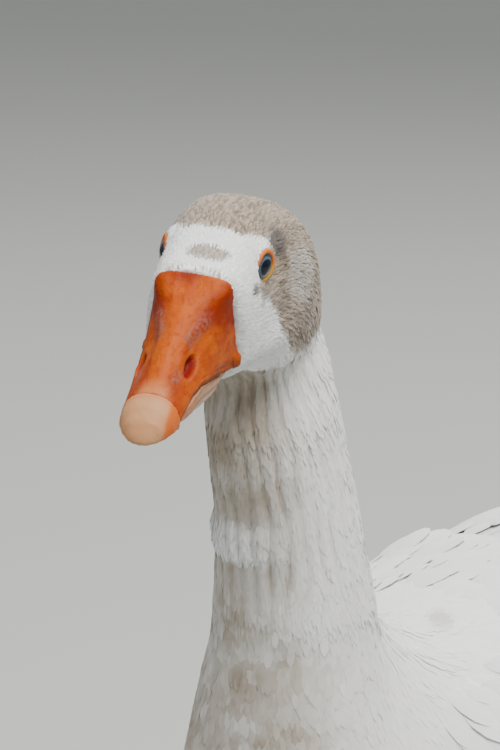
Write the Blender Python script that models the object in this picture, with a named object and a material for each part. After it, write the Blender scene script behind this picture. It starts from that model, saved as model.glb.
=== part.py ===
"""Domestic goose, life size, standing at rest: the solids of a still model.

The bird faces -Y, its left side is +X and its soles lie on z = 0.  The flesh is
one lofted tube that runs from the rump over the breast and the neck to the face,
parted by thin cuts.  Wings, tail, legs, bill and eyes are solids of their own.
Lengths below are in millimetres and MM turns them into metres.  A point of the
side view is written (forward, up), forward being the way the part faces.
"""
import math

import bmesh
import bpy
from mathutils import Matrix, Vector

MM = 0.001

# Driving dimensions of the trunk and its carriage.
BACK = 358.0
BELLY = 152.0
TRUNK_HALF_WIDTH = 103.0
BREAST_REACH = 222.0
RUMP_REACH = -248.0

# Neck: half widths from the withers up to the throat.
NECK_BASE_HALF_WIDTH = 37.0
NECK_MIDDLE_HALF_WIDTH = 26.0
NECK_TOP_HALF_WIDTH = 24.0

# Head: its frame's origin lies midway between the eyes.
EYE_LINE = Vector((10.0, -235.0, 529.0))
HEAD_TURN_DEG = 21.7
HEAD_PITCH_DEG = 10.5
HEAD_ROLL_DEG = 6.0
EYE_SPACING = 40.4
EYE_RADIUS = 9.5
ORBIT_RADIUS = 10.0
ORBIT_DEPTH = 3.0
CHEEK_HALF_WIDTH = 22.3
CROWN_RISE = 17.0

# Bill, measured in the head's frame.
BILL_BASE = 30.0
BILL_REACH = 96.0
MOUTH_LEVEL = -25.6
CULMEN_BASE_RISE = 7.6
BILL_BASE_HALF_WIDTH = 15.2
GAPE_LIP = 1.3
NAIL_START = 82.0
LOWER_BILL_DEPTH = 9.0

# Wings, folded on the trunk: front and rear are fractional places among its sections.
WING_THICKNESS = 9.0
WING_BED = 3.0
WING_FRONT = 8.7
WING_REAR = 0.55
WING_ROWS = 13
WING_COLUMNS = 7
PRIMARY_ROOT = RUMP_REACH + 23.0
PRIMARY_REACH = -306.0

# Tail, a fan about a pivot inside the trunk.
TAIL_PIVOT = -150.0
TAIL_ROOT = -222.0
TAIL_REACH = -338.0
TAIL_HALF_ANGLE_DEG = 21.0
TAIL_FEATHERS = 14
TAIL_POINTS_PER_FEATHER = 2

# Legs.
LEG_SPREAD = 61.0
THIGH_HEM = 124.0
ANKLE_HEIGHT = 104.0
ANKLE_BACK = -31.0
FOOT_BACK = -8.0
FOOT_TOP = 14.0
TOE_LENGTHS = {"inner": 60.0, "middle": 78.0, "outer": 72.0}
TOE_ANGLES_DEG = {"inner": -27.0, "middle": 0.0, "outer": 27.0}
TOE_SINK = {"inner": 1.3, "middle": 1.0, "outer": 1.6}
TOE_OUT_DEG = 9.0
HIND_TOE_LENGTH = 17.0
HIND_TURN_DEG = -158.0
CLAW_LENGTH = 11.0
CLAW_CLEARANCE = 0.5
WEB_THICKNESS = 2.4
WEB_CLEARANCE = 0.6

# Making.
GAP = 0.3
RING_POINTS = 24
STEPS_PER_SECTION = 2

SIDES = {"left": 1.0, "right": -1.0}

COLOURS = {
    "plumage": ((0.74, 0.74, 0.71), 0.80),
    "bill": ((0.60, 0.15, 0.035), 0.45),
    "bill_nail": ((0.70, 0.45, 0.32), 0.40),
    "leg": ((0.62, 0.20, 0.05), 0.55),
    "claw": ((0.55, 0.42, 0.33), 0.45),
    "eye": ((0.16, 0.24, 0.32), 0.10),
}


# ---------------------------------------------------------------- small helpers

def clear_scene():
    """Remove the objects that Blender starts with."""
    for item in list(bpy.data.objects):
        bpy.data.objects.remove(item, do_unlink=True)


def new_collection(name):
    """Make a collection in the scene."""
    collection = bpy.data.collections.new(name)
    bpy.context.scene.collection.children.link(collection)
    return collection


def new_material(name):
    """Make the Principled material of one part."""
    colour, roughness = COLOURS[name]
    material = bpy.data.materials.new(name)
    material.use_nodes = True
    shader = material.node_tree.nodes["Principled BSDF"]
    shader.inputs["Base Color"].default_value = (*colour, 1.0)
    shader.inputs["Roughness"].default_value = roughness
    material.diffuse_color = (*colour, 1.0)
    return material


def blend(a, b, t):
    """Mix two numbers or vectors."""
    return a + (b - a) * t


def smooth(t):
    """Ease from 0 to 1, flat at both ends."""
    t = min(max(t, 0.0), 1.0)
    return t * t * (3.0 - 2.0 * t)


def curve_at(values, position):
    """Read a smooth curve through the values at a fractional index."""
    last = len(values) - 1
    i = min(int(position), last - 1)
    t = position - i
    p0 = values[max(i - 1, 0)]
    p1 = values[i]
    p2 = values[i + 1]
    p3 = values[min(i + 2, last)]
    a = p1 * 2.0
    b = (p2 - p0) * t
    c = (p0 * 2.0 - p1 * 5.0 + p2 * 4.0 - p3) * t ** 2
    d = (p1 * 3.0 - p0 - p2 * 3.0 + p3) * t ** 3
    return (a + b + c + d) * 0.5


def power(value, exponent):
    """Raise a signed number to a power and keep its sign."""
    return math.copysign(abs(value) ** exponent, value)


def loft(name, rings, collection):
    """Skin closed rings of points, in millimetres, into one closed solid."""
    mesh = bpy.data.meshes.new(name)
    form = bmesh.new()
    loops = [[form.verts.new(point * MM) for point in ring] for ring in rings]
    count = len(rings[0])
    for low, high in zip(loops, loops[1:]):
        for k in range(count):
            n = (k + 1) % count
            form.faces.new((low[k], low[n], high[n], high[k]))
    form.faces.new(list(reversed(loops[0])))
    form.faces.new(loops[-1])
    bmesh.ops.triangulate(form, faces=form.faces)
    bmesh.ops.recalc_face_normals(form, faces=form.faces)
    if form.calc_volume(signed=True) < 0.0:
        bmesh.ops.reverse_faces(form, faces=form.faces)
    form.to_mesh(mesh)
    form.free()
    solid = bpy.data.objects.new(name, mesh)
    collection.objects.link(solid)
    return solid


def combine(solid, other, operation):
    """Join or cut a solid with another by an exact Boolean."""
    modifier = solid.modifiers.new(operation.lower() + "_" + other.name, "BOOLEAN")
    modifier.operation = operation
    modifier.solver = "EXACT"
    modifier.object = other


def hide_cutter(cutter):
    """Show a cutter as wire only and keep it out of renders."""
    cutter.hide_render = True
    cutter.display_type = "WIRE"


# ------------------------------------------------------------- frames of the body

def body_frame():
    """Frame of the trunk: forward is -Y, left is +X."""
    return Matrix.Identity(4)


def head_frame():
    """Frame of the head, turned to the bird's left, bowed and leaning a little."""
    middle = Matrix.Translation(EYE_LINE)
    turn = Matrix.Rotation(math.radians(HEAD_TURN_DEG), 4, "Z")
    bow = Matrix.Rotation(math.radians(HEAD_PITCH_DEG), 4, "X")
    lean = Matrix.Rotation(math.radians(HEAD_ROLL_DEG), 4, "Y")
    return middle @ turn @ bow @ lean


def place(frame, forward, left, up):
    """Turn forward, left and up of a frame into a point in millimetres."""
    return frame @ Vector((left, -forward, up))


# --------------------------------------------------------- sections of the flesh

class Section:
    """One cross section: dorsal and ventral points, width, and how full it is."""

    def __init__(self, frame, dorsal, ventral, half_width, widest=0.5, full=(2.2, 2.2),
                 shift=0.0, turn=0.0):
        twist = Matrix.Rotation(math.radians(turn), 3, "Z")
        self.dorsal = place(frame, dorsal[0], shift, dorsal[1])
        self.ventral = place(frame, ventral[0], shift, ventral[1])
        self.side = (twist @ (frame.to_3x3() @ Vector((1.0, 0.0, 0.0)))).normalized()
        self.sizes = Vector((half_width, widest, full[0], full[1]))


def trunk_sections(frame):
    """Sections from the rump forward to the withers and breast."""
    wide = TRUNK_HALF_WIDTH
    reach = BREAST_REACH
    return [
        Section(frame, (RUMP_REACH, 311), (RUMP_REACH - 12, 290), 31, 0.55, (2.4, 2.2)),
        Section(frame, (-208, 322), (-220, 254), wide * 0.47, 0.56, (2.3, 2.0)),
        Section(frame, (-160, BACK - 25), (-166, 212), wide * 0.72, 0.58, (2.3, 2.0)),
        Section(frame, (-105, BACK - 11), (-108, 178), wide * 0.91, 0.58, (2.4, 2.1)),
        Section(frame, (-50, BACK - 3), (-48, BELLY + 5), wide * 0.99, 0.56, (2.5, 2.2)),
        Section(frame, (0, BACK), (8, BELLY), wide, 0.54, (2.5, 2.2)),
        Section(frame, (45, BACK + 2), (66, BELLY + 5), wide * 0.97, 0.52, (2.4, 2.2)),
        Section(frame, (82, BACK + 3), (120, BELLY + 20), wide * 0.88, 0.50, (2.2, 2.2)),
        Section(frame, (107, BACK + 5), (172, BELLY + 44), wide * 0.74, 0.48, (2.0, 2.2)),
        Section(frame, (125, BACK + 10), (209, BELLY + 76), wide * 0.55, 0.46, (2.0, 2.2)),
        Section(frame, (137, BACK + 21), (reach, 275), wide * 0.42, 0.46, (2.0, 2.2)),
    ]


def neck_sections(frame):
    """Sections up the neck, which leans a little and starts to turn."""
    base = NECK_BASE_HALF_WIDTH
    middle = NECK_MIDDLE_HALF_WIDTH
    top = NECK_TOP_HALF_WIDTH
    return [
        Section(frame, (145, 399), (212, 325), base, 0.47, (2.1, 2.2)),
        Section(frame, (150, 418), (207, 365), base * 0.84, 0.49, (2.1, 2.1), 1),
        Section(frame, (154, 437), (205, 398), middle * 1.05, 0.50, (2.1, 2.1), 1, 3),
        Section(frame, (158, 457), (207, 426), middle * 0.97, 0.50, (2.1, 2.1), 0, 7),
        Section(frame, (163, 476), (211, 451), top, 0.50, (2.1, 2.1), -1, 13),
    ]


def head_sections(frame):
    """Sections over the nape and crown to the edge of the bill."""
    cheek = CHEEK_HALF_WIDTH
    crown = CROWN_RISE
    chin = MOUTH_LEVEL - LOWER_BILL_DEPTH
    return [
        Section(frame, (-64, -36), (-25, -60), cheek * 1.12, 0.50, (2.2, 2.2), 6),
        Section(frame, (-58, -17), (-15, -53), cheek * 1.15, 0.50, (2.3, 2.3), 5),
        Section(frame, (-48, 0), (-7, -47.5), cheek * 1.10, 0.48, (2.8, 2.4), 3.5),
        Section(frame, (-34, crown - 7), (-2, -44.5), cheek * 1.06, 0.45, (2.9, 2.5), 2),
        Section(frame, (-19, crown - 1.5), (3, -42.5), cheek * 1.02, 0.41, (2.8, 2.5), 0.5),
        Section(frame, (-5, crown + 0.3), (8, -41), cheek * 0.96, 0.38, (2.6, 2.6)),
        Section(frame, (9, crown - 2.2), (13, -39.5), cheek * 0.92, 0.37, (2.5, 2.7)),
        Section(frame, (21, crown - 6), (20, chin - 3), cheek * 0.87, 0.36, (2.8, 2.8)),
        Section(frame, (BILL_BASE + 1, CULMEN_BASE_RISE + 1), (27, chin - 1),
                BILL_BASE_HALF_WIDTH + 1.6, 0.34, (3.3, 2.8)),
    ]


def flesh_centre(sections, position):
    """Widest level of the flesh at a fractional section."""
    dorsal = curve_at([s.dorsal for s in sections], position)
    ventral = curve_at([s.ventral for s in sections], position)
    return ventral.lerp(dorsal, curve_at([s.sizes for s in sections], position)[1])


def flesh_point(sections, position, angle):
    """Point of the flesh: 0 is its left side, a quarter turn is its back."""
    dorsal = curve_at([s.dorsal for s in sections], position)
    ventral = curve_at([s.ventral for s in sections], position)
    side = curve_at([s.side for s in sections], position).normalized()
    half_width, widest, full_top, full_bottom = curve_at([s.sizes for s in sections], position)
    centre = ventral.lerp(dorsal, widest)
    reach = dorsal - centre
    full = full_top
    if math.sin(angle) < 0.0:
        reach = centre - ventral
        full = full_bottom
    across = power(math.cos(angle), 2.0 / full) * half_width
    along = power(math.sin(angle), 2.0 / full)
    return centre + side * across + reach * along


def flesh_rings(sections):
    """Rings of points that run smoothly along the whole bird."""
    turns = [2.0 * math.pi * k / RING_POINTS for k in range(RING_POINTS)]
    count = (len(sections) - 1) * STEPS_PER_SECTION + 1
    return [[flesh_point(sections, i / STEPS_PER_SECTION, turn) for turn in turns]
            for i in range(count)]


def ring_normal(ring):
    """Direction along the bird at a ring, towards the head."""
    quarter = RING_POINTS // 4
    left = ring[0] - ring[2 * quarter]
    up = ring[quarter] - ring[3 * quarter]
    return left.cross(up).normalized()


def flesh_part(name, rings, first, last, collection):
    """Make one length of the tube, drawn back from its cuts by half the gap."""
    length = [list(ring) for ring in rings[first:last + 1]]
    if first > 0:
        step = ring_normal(length[0]) * (GAP / 2.0)
        length[0] = [point + step for point in length[0]]
    if last < len(rings) - 1:
        step = ring_normal(length[-1]) * (GAP / 2.0)
        length[-1] = [point - step for point in length[-1]]
    return loft(name, length, collection)


def make_ball(name, frame, left, radius, collection, flat=1.0):
    """Make a ball beside the head's middle, flattened from side to side if asked."""
    mesh = bpy.data.meshes.new(name)
    form = bmesh.new()
    bmesh.ops.create_uvsphere(form, u_segments=12, v_segments=8, radius=radius * MM)
    bmesh.ops.scale(form, vec=(1.0, 1.0, flat), verts=form.verts)
    form.to_mesh(mesh)
    form.free()
    ball = bpy.data.objects.new(name, mesh)
    outward = Matrix.Rotation(math.radians(90.0), 4, "Y")
    ball.matrix_world = Matrix.Translation(place(frame, 0.0, left, 0.0) * MM) @ (
        frame.to_3x3().to_4x4() @ outward)
    collection.objects.link(ball)
    return ball


def make_eye(name, head_solid, frame, side, parts, cutters):
    """Make an eyeball, its socket and the shallow orbit round it."""
    surface = EYE_SPACING / 2.0
    centre = side * (surface - EYE_RADIUS)
    eye = make_ball("eye_" + name, frame, centre, EYE_RADIUS, parts)
    socket = make_ball("socket_" + name, frame, centre, EYE_RADIUS + GAP, cutters)
    orbit = make_ball("orbit_" + name, frame, side * (surface + 1.2), ORBIT_RADIUS, cutters,
                      ORBIT_DEPTH / ORBIT_RADIUS)
    for cutter in (orbit, socket):
        combine(head_solid, cutter, "DIFFERENCE")
        hide_cutter(cutter)
    return eye


# ------------------------------------------------------------------------- bill

def vault(frame, forward, rake, top, bottom, half_width, full, points=15, lip=0.0):
    """Half ring over a flat: an arch from its left foot to its right foot."""
    ring = []
    for k in range(points):
        angle = math.pi * k / (points - 1)
        rise = abs(math.sin(angle)) ** (2.0 / full)
        flare = half_width + lip * (1.0 - rise) ** 3
        across = power(math.cos(angle), 2.0 / full) * flare
        up = blend(bottom, top, rise)
        ring.append(place(frame, forward - rake * abs(top - up), across, up))
    return ring


def upper_bill_rings(frame):
    """Arches from the feather edge to the nail."""
    base = BILL_BASE + 1.0 + GAP
    wide = BILL_BASE_HALF_WIDTH
    floor = MOUTH_LEVEL
    rise = CULMEN_BASE_RISE
    nail = NAIL_START
    lip = GAPE_LIP
    return [
        vault(frame, base, 0.09, rise, floor, wide, 3.4, lip=lip),
        vault(frame, blend(base, nail, 0.25), 0.05, rise - 6.0, floor, wide * 0.90, 2.5, lip=lip),
        vault(frame, blend(base, nail, 0.50), 0.0, rise - 12.0, floor, wide * 0.82, 1.9, lip=lip),
        vault(frame, blend(base, nail, 0.75), 0.0, rise - 17.4, floor, wide * 0.76, 1.9),
        vault(frame, nail, 0.0, rise - 22.4, floor, wide * 0.68, 2.1),
    ]


def nail_rings(frame):
    """Arches of the nail, which hooks a little over the lower bill."""
    start = NAIL_START + GAP
    tip = BILL_REACH
    wide = BILL_BASE_HALF_WIDTH * 0.67
    top = CULMEN_BASE_RISE - 22.6
    floor = MOUTH_LEVEL
    return [
        vault(frame, start, 0.0, top, floor, wide, 2.3),
        vault(frame, blend(start, tip, 0.40), 0.0, top - 2.6, floor, wide * 0.90, 2.3),
        vault(frame, blend(start, tip, 0.72), 0.0, top - 5.6, floor - 0.6, wide * 0.70, 2.2),
        vault(frame, blend(start, tip, 0.92), 0.0, top - 9.2, floor - 1.4, wide * 0.42, 2.0),
        vault(frame, tip, 0.0, top - 11.4, floor - 1.8, wide * 0.16, 2.0),
    ]


def lower_bill_rings(frame):
    """Keel-like arches of the lower bill, hanging from the mouth line."""
    lid = MOUTH_LEVEL - GAP
    start = BILL_BASE - 2.9 + GAP
    tip = BILL_REACH - 9.0
    wide = BILL_BASE_HALF_WIDTH - 2.2
    deep = LOWER_BILL_DEPTH
    return [
        vault(frame, start, -0.09, lid - deep, lid, wide, 2.8),
        vault(frame, blend(start, tip, 0.35), 0.0, lid - deep * 0.92, lid, wide * 0.92, 2.6),
        vault(frame, blend(start, tip, 0.70), 0.0, lid - deep * 0.72, lid, wide * 0.76, 2.4),
        vault(frame, blend(start, tip, 0.92), 0.0, lid - deep * 0.5, lid, wide * 0.52, 2.2),
        vault(frame, tip, 0.0, lid - deep * 0.28, lid, wide * 0.28, 2.0),
    ]


# ------------------------------------------------------------------------ wings

def wing_section(along):
    """Fractional flesh section and edge angles at a place along the wing."""
    position = blend(WING_FRONT, WING_REAR, along)
    shoulder = smooth(along / 0.22)
    taper = smooth((along - 0.45) / 0.55)
    low = math.radians(blend(2.0, -34.0, shoulder)) + math.radians(48.0) * taper
    high = math.radians(blend(44.0, 66.0, shoulder)) + math.radians(12.0) * taper
    return position, low, high


def wing_thickness(along, across):
    """Rise of the folded wing over the flesh: full at the wrist, thin at its edges."""
    front = smooth(along / 0.10)
    rear = blend(1.0, 0.35, smooth((along - 0.25) / 0.75))
    edge = abs(math.sin(math.pi * across)) ** 0.45 * (1.0 - 0.9 * across ** 2)
    return 1.0 + WING_THICKNESS * front * rear * edge


def wing_rings(sections, side, margin):
    """Rings of a wing that is bedded in the flesh, grown all round by the margin."""
    rings = []
    reach = TRUNK_HALF_WIDTH
    for i in range(WING_ROWS + 1):
        along = (i / WING_ROWS) ** 1.5
        position, low, high = wing_section(along)
        position += margin * 0.02 * (1.0 - 2.0 * along)
        low -= margin / reach
        high += margin / reach
        centre = flesh_centre(sections, position)
        outer = []
        inner = []
        for k in range(WING_COLUMNS + 1):
            across = k / WING_COLUMNS
            angle = blend(low, high, across)
            point = flesh_point(sections, position, angle)
            out = (point - centre).normalized()
            outer.append(point + out * (wing_thickness(along, across) + margin))
            inner.append(point - out * (WING_BED + margin))
        ring = outer + inner[::-1]
        rings.append([Vector((side * p.x, p.y, p.z)) for p in ring])
    return rings


def primary_rings(frame, side, margin):
    """Rings of the long wing feathers that cross over the rump."""
    rings = []
    for i in range(8):
        along = i / 7
        forward = blend(PRIMARY_ROOT, PRIMARY_REACH, along)
        left = side * blend(25.0, 9.5, along)
        up = blend(317.0, 330.0, along)
        tip = 1.0 - 0.75 * smooth((along - 0.75) / 0.25)
        wide = blend(16.0, 8.0, along) * tip + margin
        thick = blend(4.0, 1.2, along) + margin
        ring = []
        for k in range(10):
            angle = 2.0 * math.pi * k / 10
            across = math.cos(angle) * wide
            height = math.sin(angle) * thick - 0.3 * side * across
            ring.append(place(frame, forward, left + across, up + height))
        rings.append(ring)
    return rings


# ------------------------------------------------------------------------- tail

def tail_rings(frame, margin):
    """Rings from the root to the scalloped rim of the fan, top then underside."""
    count = TAIL_FEATHERS * TAIL_POINTS_PER_FEATHER
    rings = []
    for along in (0.0, 0.5, 1.0):
        top = []
        under = []
        for k in range(count + 1):
            across = 2.0 * k / count - 1.0
            angle = math.radians(TAIL_HALF_ANGLE_DEG) * across * (1.0 + 0.01 * margin)
            notch = abs(math.sin(math.pi * TAIL_FEATHERS * (across + 1.0) / 2.0))
            rim = TAIL_PIVOT - TAIL_REACH - 9.0 * across ** 2 - 4.0 * (1.0 - notch)
            root = TAIL_PIVOT - TAIL_ROOT - margin
            radius = blend(root, rim, along)
            forward = TAIL_PIVOT - radius * math.cos(angle)
            left = radius * math.sin(angle) * (1.0 + 0.02 * margin)
            up = blend(300.0, 322.0, along) - 8.0 * across ** 2
            half = blend(4.5, 1.0, along) + margin
            top.append(place(frame, forward, left, up + half))
            under.append(place(frame, forward, left, up - half))
        rings.append(top + under[::-1])
    return rings


# ------------------------------------------------------------------------- legs

def column_ring(frame, forward, left, up, half_length, half_width, points=12):
    """Level oval ring of a leg."""
    ring = []
    for k in range(points):
        angle = 2.0 * math.pi * k / points
        ring.append(place(frame, forward + math.sin(angle) * half_length,
                          left + math.cos(angle) * half_width, up))
    return ring


def thigh_rings(frame, side, margin):
    """Feathered drumstick, from within the belly down to above the ankle."""
    hem = THIGH_HEM
    left = side * LEG_SPREAD
    return [
        column_ring(frame, 6, left * 1.04, 226, 32 + margin, 20 + margin),
        column_ring(frame, 3, left * 1.08, 202, 44 + margin, 27 + margin),
        column_ring(frame, -4, left * 1.06, 174, 38 + margin, 25 + margin),
        column_ring(frame, -15, left * 1.02, 148, 25 + margin, 18 + margin),
        column_ring(frame, -25, left, hem + 8, 13.5 + margin, 11.5 + margin),
        column_ring(frame, -27, left, hem, 10.5 + margin, 9.5 + margin),
    ]


def shank_rings(frame, side):
    """Bare end of the drumstick, the ankle and the shank down to the foot."""
    left = side * LEG_SPREAD
    ankle = ANKLE_HEIGHT
    back = ANKLE_BACK
    foot = FOOT_BACK
    return [
        column_ring(frame, -27, left, THIGH_HEM - GAP, 8.5, 7.2),
        column_ring(frame, back + 2, left, ankle + 10, 9.0, 8.0),
        column_ring(frame, back, left, ankle, 10.5, 9.5),
        column_ring(frame, back + 2, left, ankle - 10, 9.4, 8.4),
        column_ring(frame, blend(back, foot, 0.30), left, ankle * 0.74, 7.6, 6.2),
        column_ring(frame, blend(back, foot, 0.62), left, ankle * 0.46, 7.2, 5.8),
        column_ring(frame, blend(back, foot, 0.88), left, ankle * 0.24, 8.2, 7.2),
        column_ring(frame, foot, left, FOOT_TOP, 9.4, 9.0),
    ]


def foot_frame(side):
    """Frame of one foot: its origin is on the floor under the shank."""
    place_foot = Matrix.Translation(place(body_frame(), FOOT_BACK, side * LEG_SPREAD, 0.0))
    return place_foot @ Matrix.Rotation(math.radians(side * TOE_OUT_DEG), 4, "Z")


def toe_frame(side, toe):
    """Frame of one toe: forward runs along the toe."""
    turn = math.radians(side * TOE_ANGLES_DEG[toe])
    return foot_frame(side) @ Matrix.Rotation(turn, 4, "Z")


def toe_rings(side, toe):
    """Arches of a toe with its joint pads, flat on the floor."""
    frame = toe_frame(side, toe)
    length = TOE_LENGTHS[toe]
    rings = []
    for i in range(7):
        along = i / 6
        pad = 1.0 + 0.10 * math.cos(along * 6.0 * math.pi)
        wide = blend(6.6, 3.4, along) * pad
        high = blend(11.0, 4.6, along) * pad
        rings.append(vault(frame, along * length, 0.0, high, -TOE_SINK[toe], wide, 2.0, 7))
    return rings


def hind_toe_rings(side):
    """Small hind toe, held clear of the floor on the inner side."""
    frame = hind_frame(side)
    return [
        vault(frame, 0, 0.0, 14.0, 5.0, 4.6, 2.0, 9),
        vault(frame, 9, 0.0, 12.0, 4.4, 3.8, 2.0, 9),
        vault(frame, HIND_TOE_LENGTH, 0.0, 9.0, 3.6, 2.8, 2.0, 9),
    ]


def hind_frame(side):
    """Frame of the hind toe: forward runs back and inward."""
    return foot_frame(side) @ Matrix.Rotation(math.radians(side * HIND_TURN_DEG), 4, "Z")


def claw_rings(frame, start, base, height, half_width, length, droop=0.0):
    """Arches of a claw that thins and may droop from the end of its toe."""
    rings = []
    for along in (0.0, 0.55, 1.0):
        size = 1.0 - 0.75 * along ** 1.3
        bottom = base - droop * along ** 2
        rings.append(vault(frame, start + along * length, 0.0, bottom + height * size,
                           bottom, half_width * size, 2.0, 7))
    return rings


def web_outline(side):
    """Outline of the web: straight beside the toes, hollow between their tips."""
    tips = [toe_frame(side, toe) @ Vector((0.0, -TOE_LENGTHS[toe] * reach, 0.0))
            for toe, reach in (("inner", 0.95), ("middle", 0.94), ("outer", 0.95))]
    heel = foot_frame(side) @ Vector((0.0, 0.0, 0.0))
    outline = [heel]
    for start, end in zip(tips, tips[1:]):
        sag = (heel - (start + end) * 0.5) * 0.17
        for k in range(6):
            t = k / 6
            outline.append(start.lerp(end, t) + sag * 4.0 * t * (1.0 - t))
    outline.append(tips[-1])
    return outline


def make_web(name, side, collection):
    """Make the web as a filled flat outline with a thickness."""
    curve = bpy.data.curves.new(name, "CURVE")
    curve.dimensions = "2D"
    curve.fill_mode = "BOTH"
    curve.extrude = WEB_THICKNESS * MM / 2.0
    outline = web_outline(side)
    spline = curve.splines.new("POLY")
    spline.points.add(len(outline) - 1)
    for point, corner in zip(spline.points, outline):
        point.co = (corner.x * MM, corner.y * MM, 0.0, 1.0)
    spline.use_cyclic_u = True
    drawn = bpy.data.objects.new(name + "_outline", curve)
    collection.objects.link(drawn)
    bpy.context.view_layer.update()
    graph = bpy.context.evaluated_depsgraph_get()
    mesh = bpy.data.meshes.new_from_object(drawn.evaluated_get(graph))
    bpy.data.objects.remove(drawn)
    form = bmesh.new()
    form.from_mesh(mesh)
    bmesh.ops.remove_doubles(form, verts=form.verts, dist=0.00001)
    bmesh.ops.recalc_face_normals(form, faces=form.faces)
    form.to_mesh(mesh)
    form.free()
    web = bpy.data.objects.new(name, mesh)
    web.location.z = (WEB_THICKNESS / 2.0 + WEB_CLEARANCE) * MM
    collection.objects.link(web)
    return web


def floor_rings(side):
    """Block under one foot that trims its soles to one level."""
    frame = foot_frame(side)
    corners = ((-60, -90), (120, -90), (120, 90), (-60, 90))
    return [[place(frame, forward, left, up) for forward, left in corners]
            for up in (-12.0, 0.0)]


def make_foot(name, side, parts, cutters):
    """Make a foot of three toes, a hind toe and the web between them."""
    frame = foot_frame(side)
    foot = loft(name, toe_rings(side, "middle"), parts)
    ball = loft(name + "_ball", [
        column_ring(frame, 0, 0, -2.0, 9.0, 9.5),
        column_ring(frame, 0, 0, 7.0, 9.8, 10.0),
        column_ring(frame, 0, 0, FOOT_TOP - GAP, 9.0, 8.6),
    ], cutters)
    pieces = [ball,
              loft(name + "_inner", toe_rings(side, "inner"), cutters),
              loft(name + "_outer", toe_rings(side, "outer"), cutters),
              loft(name + "_hind", hind_toe_rings(side), cutters),
              make_web(name + "_web", side, cutters)]
    for piece in pieces:
        combine(foot, piece, "UNION")
        hide_cutter(piece)
    floor = loft(name + "_floor", floor_rings(side), cutters)
    combine(foot, floor, "DIFFERENCE")
    hide_cutter(floor)
    return foot


def make_claws(side_name, side, parts):
    """Make the four claws of one foot."""
    claws = []
    for toe, length in TOE_LENGTHS.items():
        rings = claw_rings(toe_frame(side, toe), length + GAP, CLAW_CLEARANCE, 4.4, 3.2,
                           CLAW_LENGTH)
        claws.append(loft("claw_" + side_name + "_" + toe, rings, parts))
    rings = claw_rings(hind_frame(side), HIND_TOE_LENGTH + GAP, 4.2, 4.6, 2.6,
                       CLAW_LENGTH * 0.7, 2.2)
    claws.append(loft("claw_" + side_name + "_hind", rings, parts))
    return claws


# ---------------------------------------------------------------------- the bird

def finish(solid, material):
    """Give a solid its material."""
    solid.data.materials.clear()
    solid.data.materials.append(material)


def make_flesh(sections, parts):
    """Make the trunk, three lengths of neck and the head from one tube."""
    rings = flesh_rings(sections)
    trunk_end = len(trunk_sections(body_frame())) - 1
    neck_end = trunk_end + len(neck_sections(body_frame()))
    cuts = [0, trunk_end, trunk_end + 2, trunk_end + 4, neck_end + 1, len(sections) - 1]
    names = ["trunk", "neck_lower", "neck_middle", "neck_upper", "head"]
    flesh = {}
    for name, first, last in zip(names, cuts, cuts[1:]):
        flesh[name] = flesh_part(name, rings, first * STEPS_PER_SECTION,
                                 last * STEPS_PER_SECTION, parts)
    return flesh


def stand_over_origin(parts, cutters, nail, tail):
    """Move all under one empty, so the origin is midway from nail to tail tip."""
    stand = bpy.data.objects.new("stand_point", None)
    for piece in list(parts.objects) + list(cutters.objects):
        piece.parent = stand
    parts.objects.link(stand)
    front = min(corner.co.y for corner in nail.data.vertices)
    rear = max(corner.co.y for corner in tail.data.vertices)
    stand.location.y = -(front + rear) / 2.0


def make_goose():
    """Build every part of the goose."""
    clear_scene()
    parts = new_collection("domestic_goose")
    cutters = new_collection("cutters")
    body = body_frame()
    head = head_frame()
    materials = {name: new_material(name) for name in COLOURS}
    sections = trunk_sections(body) + neck_sections(body) + head_sections(head)
    flesh = make_flesh(sections, parts)
    for solid in flesh.values():
        finish(solid, materials["plumage"])

    tail = loft("tail", tail_rings(body, 0.0), parts)
    finish(tail, materials["plumage"])
    bed = loft("tail_bed", tail_rings(body, GAP), cutters)
    combine(flesh["trunk"], bed, "DIFFERENCE")
    hide_cutter(bed)

    for name, side in SIDES.items():
        wing = loft("wing_" + name, wing_rings(sections, side, 0.0), parts)
        primaries = loft("primaries_" + name, primary_rings(body, side, 0.0), parts)
        thigh = loft("thigh_" + name, thigh_rings(body, side, 0.0), parts)
        for solid in (wing, primaries, thigh):
            finish(solid, materials["plumage"])
        wing_bed = loft("wing_bed_" + name, wing_rings(sections, side, GAP), cutters)
        thigh_bed = loft("thigh_bed_" + name, thigh_rings(body, side, GAP), cutters)
        primary_bed = loft("primary_bed_" + name, primary_rings(body, side, GAP), cutters)
        for cutter in (wing_bed, thigh_bed, primary_bed):
            combine(flesh["trunk"], cutter, "DIFFERENCE")
            hide_cutter(cutter)
        for solid in (primaries, thigh):
            combine(solid, wing_bed, "DIFFERENCE")
        shank = loft("shank_" + name, shank_rings(body, side), parts)
        foot = make_foot("foot_" + name, side, parts, cutters)
        for solid in (shank, foot):
            finish(solid, materials["leg"])
        for claw in make_claws(name, side, parts):
            finish(claw, materials["claw"])
        eye = make_eye(name, flesh["head"], head, side, parts, cutters)
        finish(eye, materials["eye"])

    finish(loft("bill_upper", upper_bill_rings(head), parts), materials["bill"])
    finish(loft("bill_lower", lower_bill_rings(head), parts), materials["bill"])
    nail = loft("bill_nail", nail_rings(head), parts)
    finish(nail, materials["bill_nail"])
    stand_over_origin(parts, cutters, nail, tail)


make_goose()
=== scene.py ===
import math

import bmesh
import bpy
import numpy as np
from mathutils import Matrix, Vector, noise
from mathutils.bvhtree import BVHTree


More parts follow.
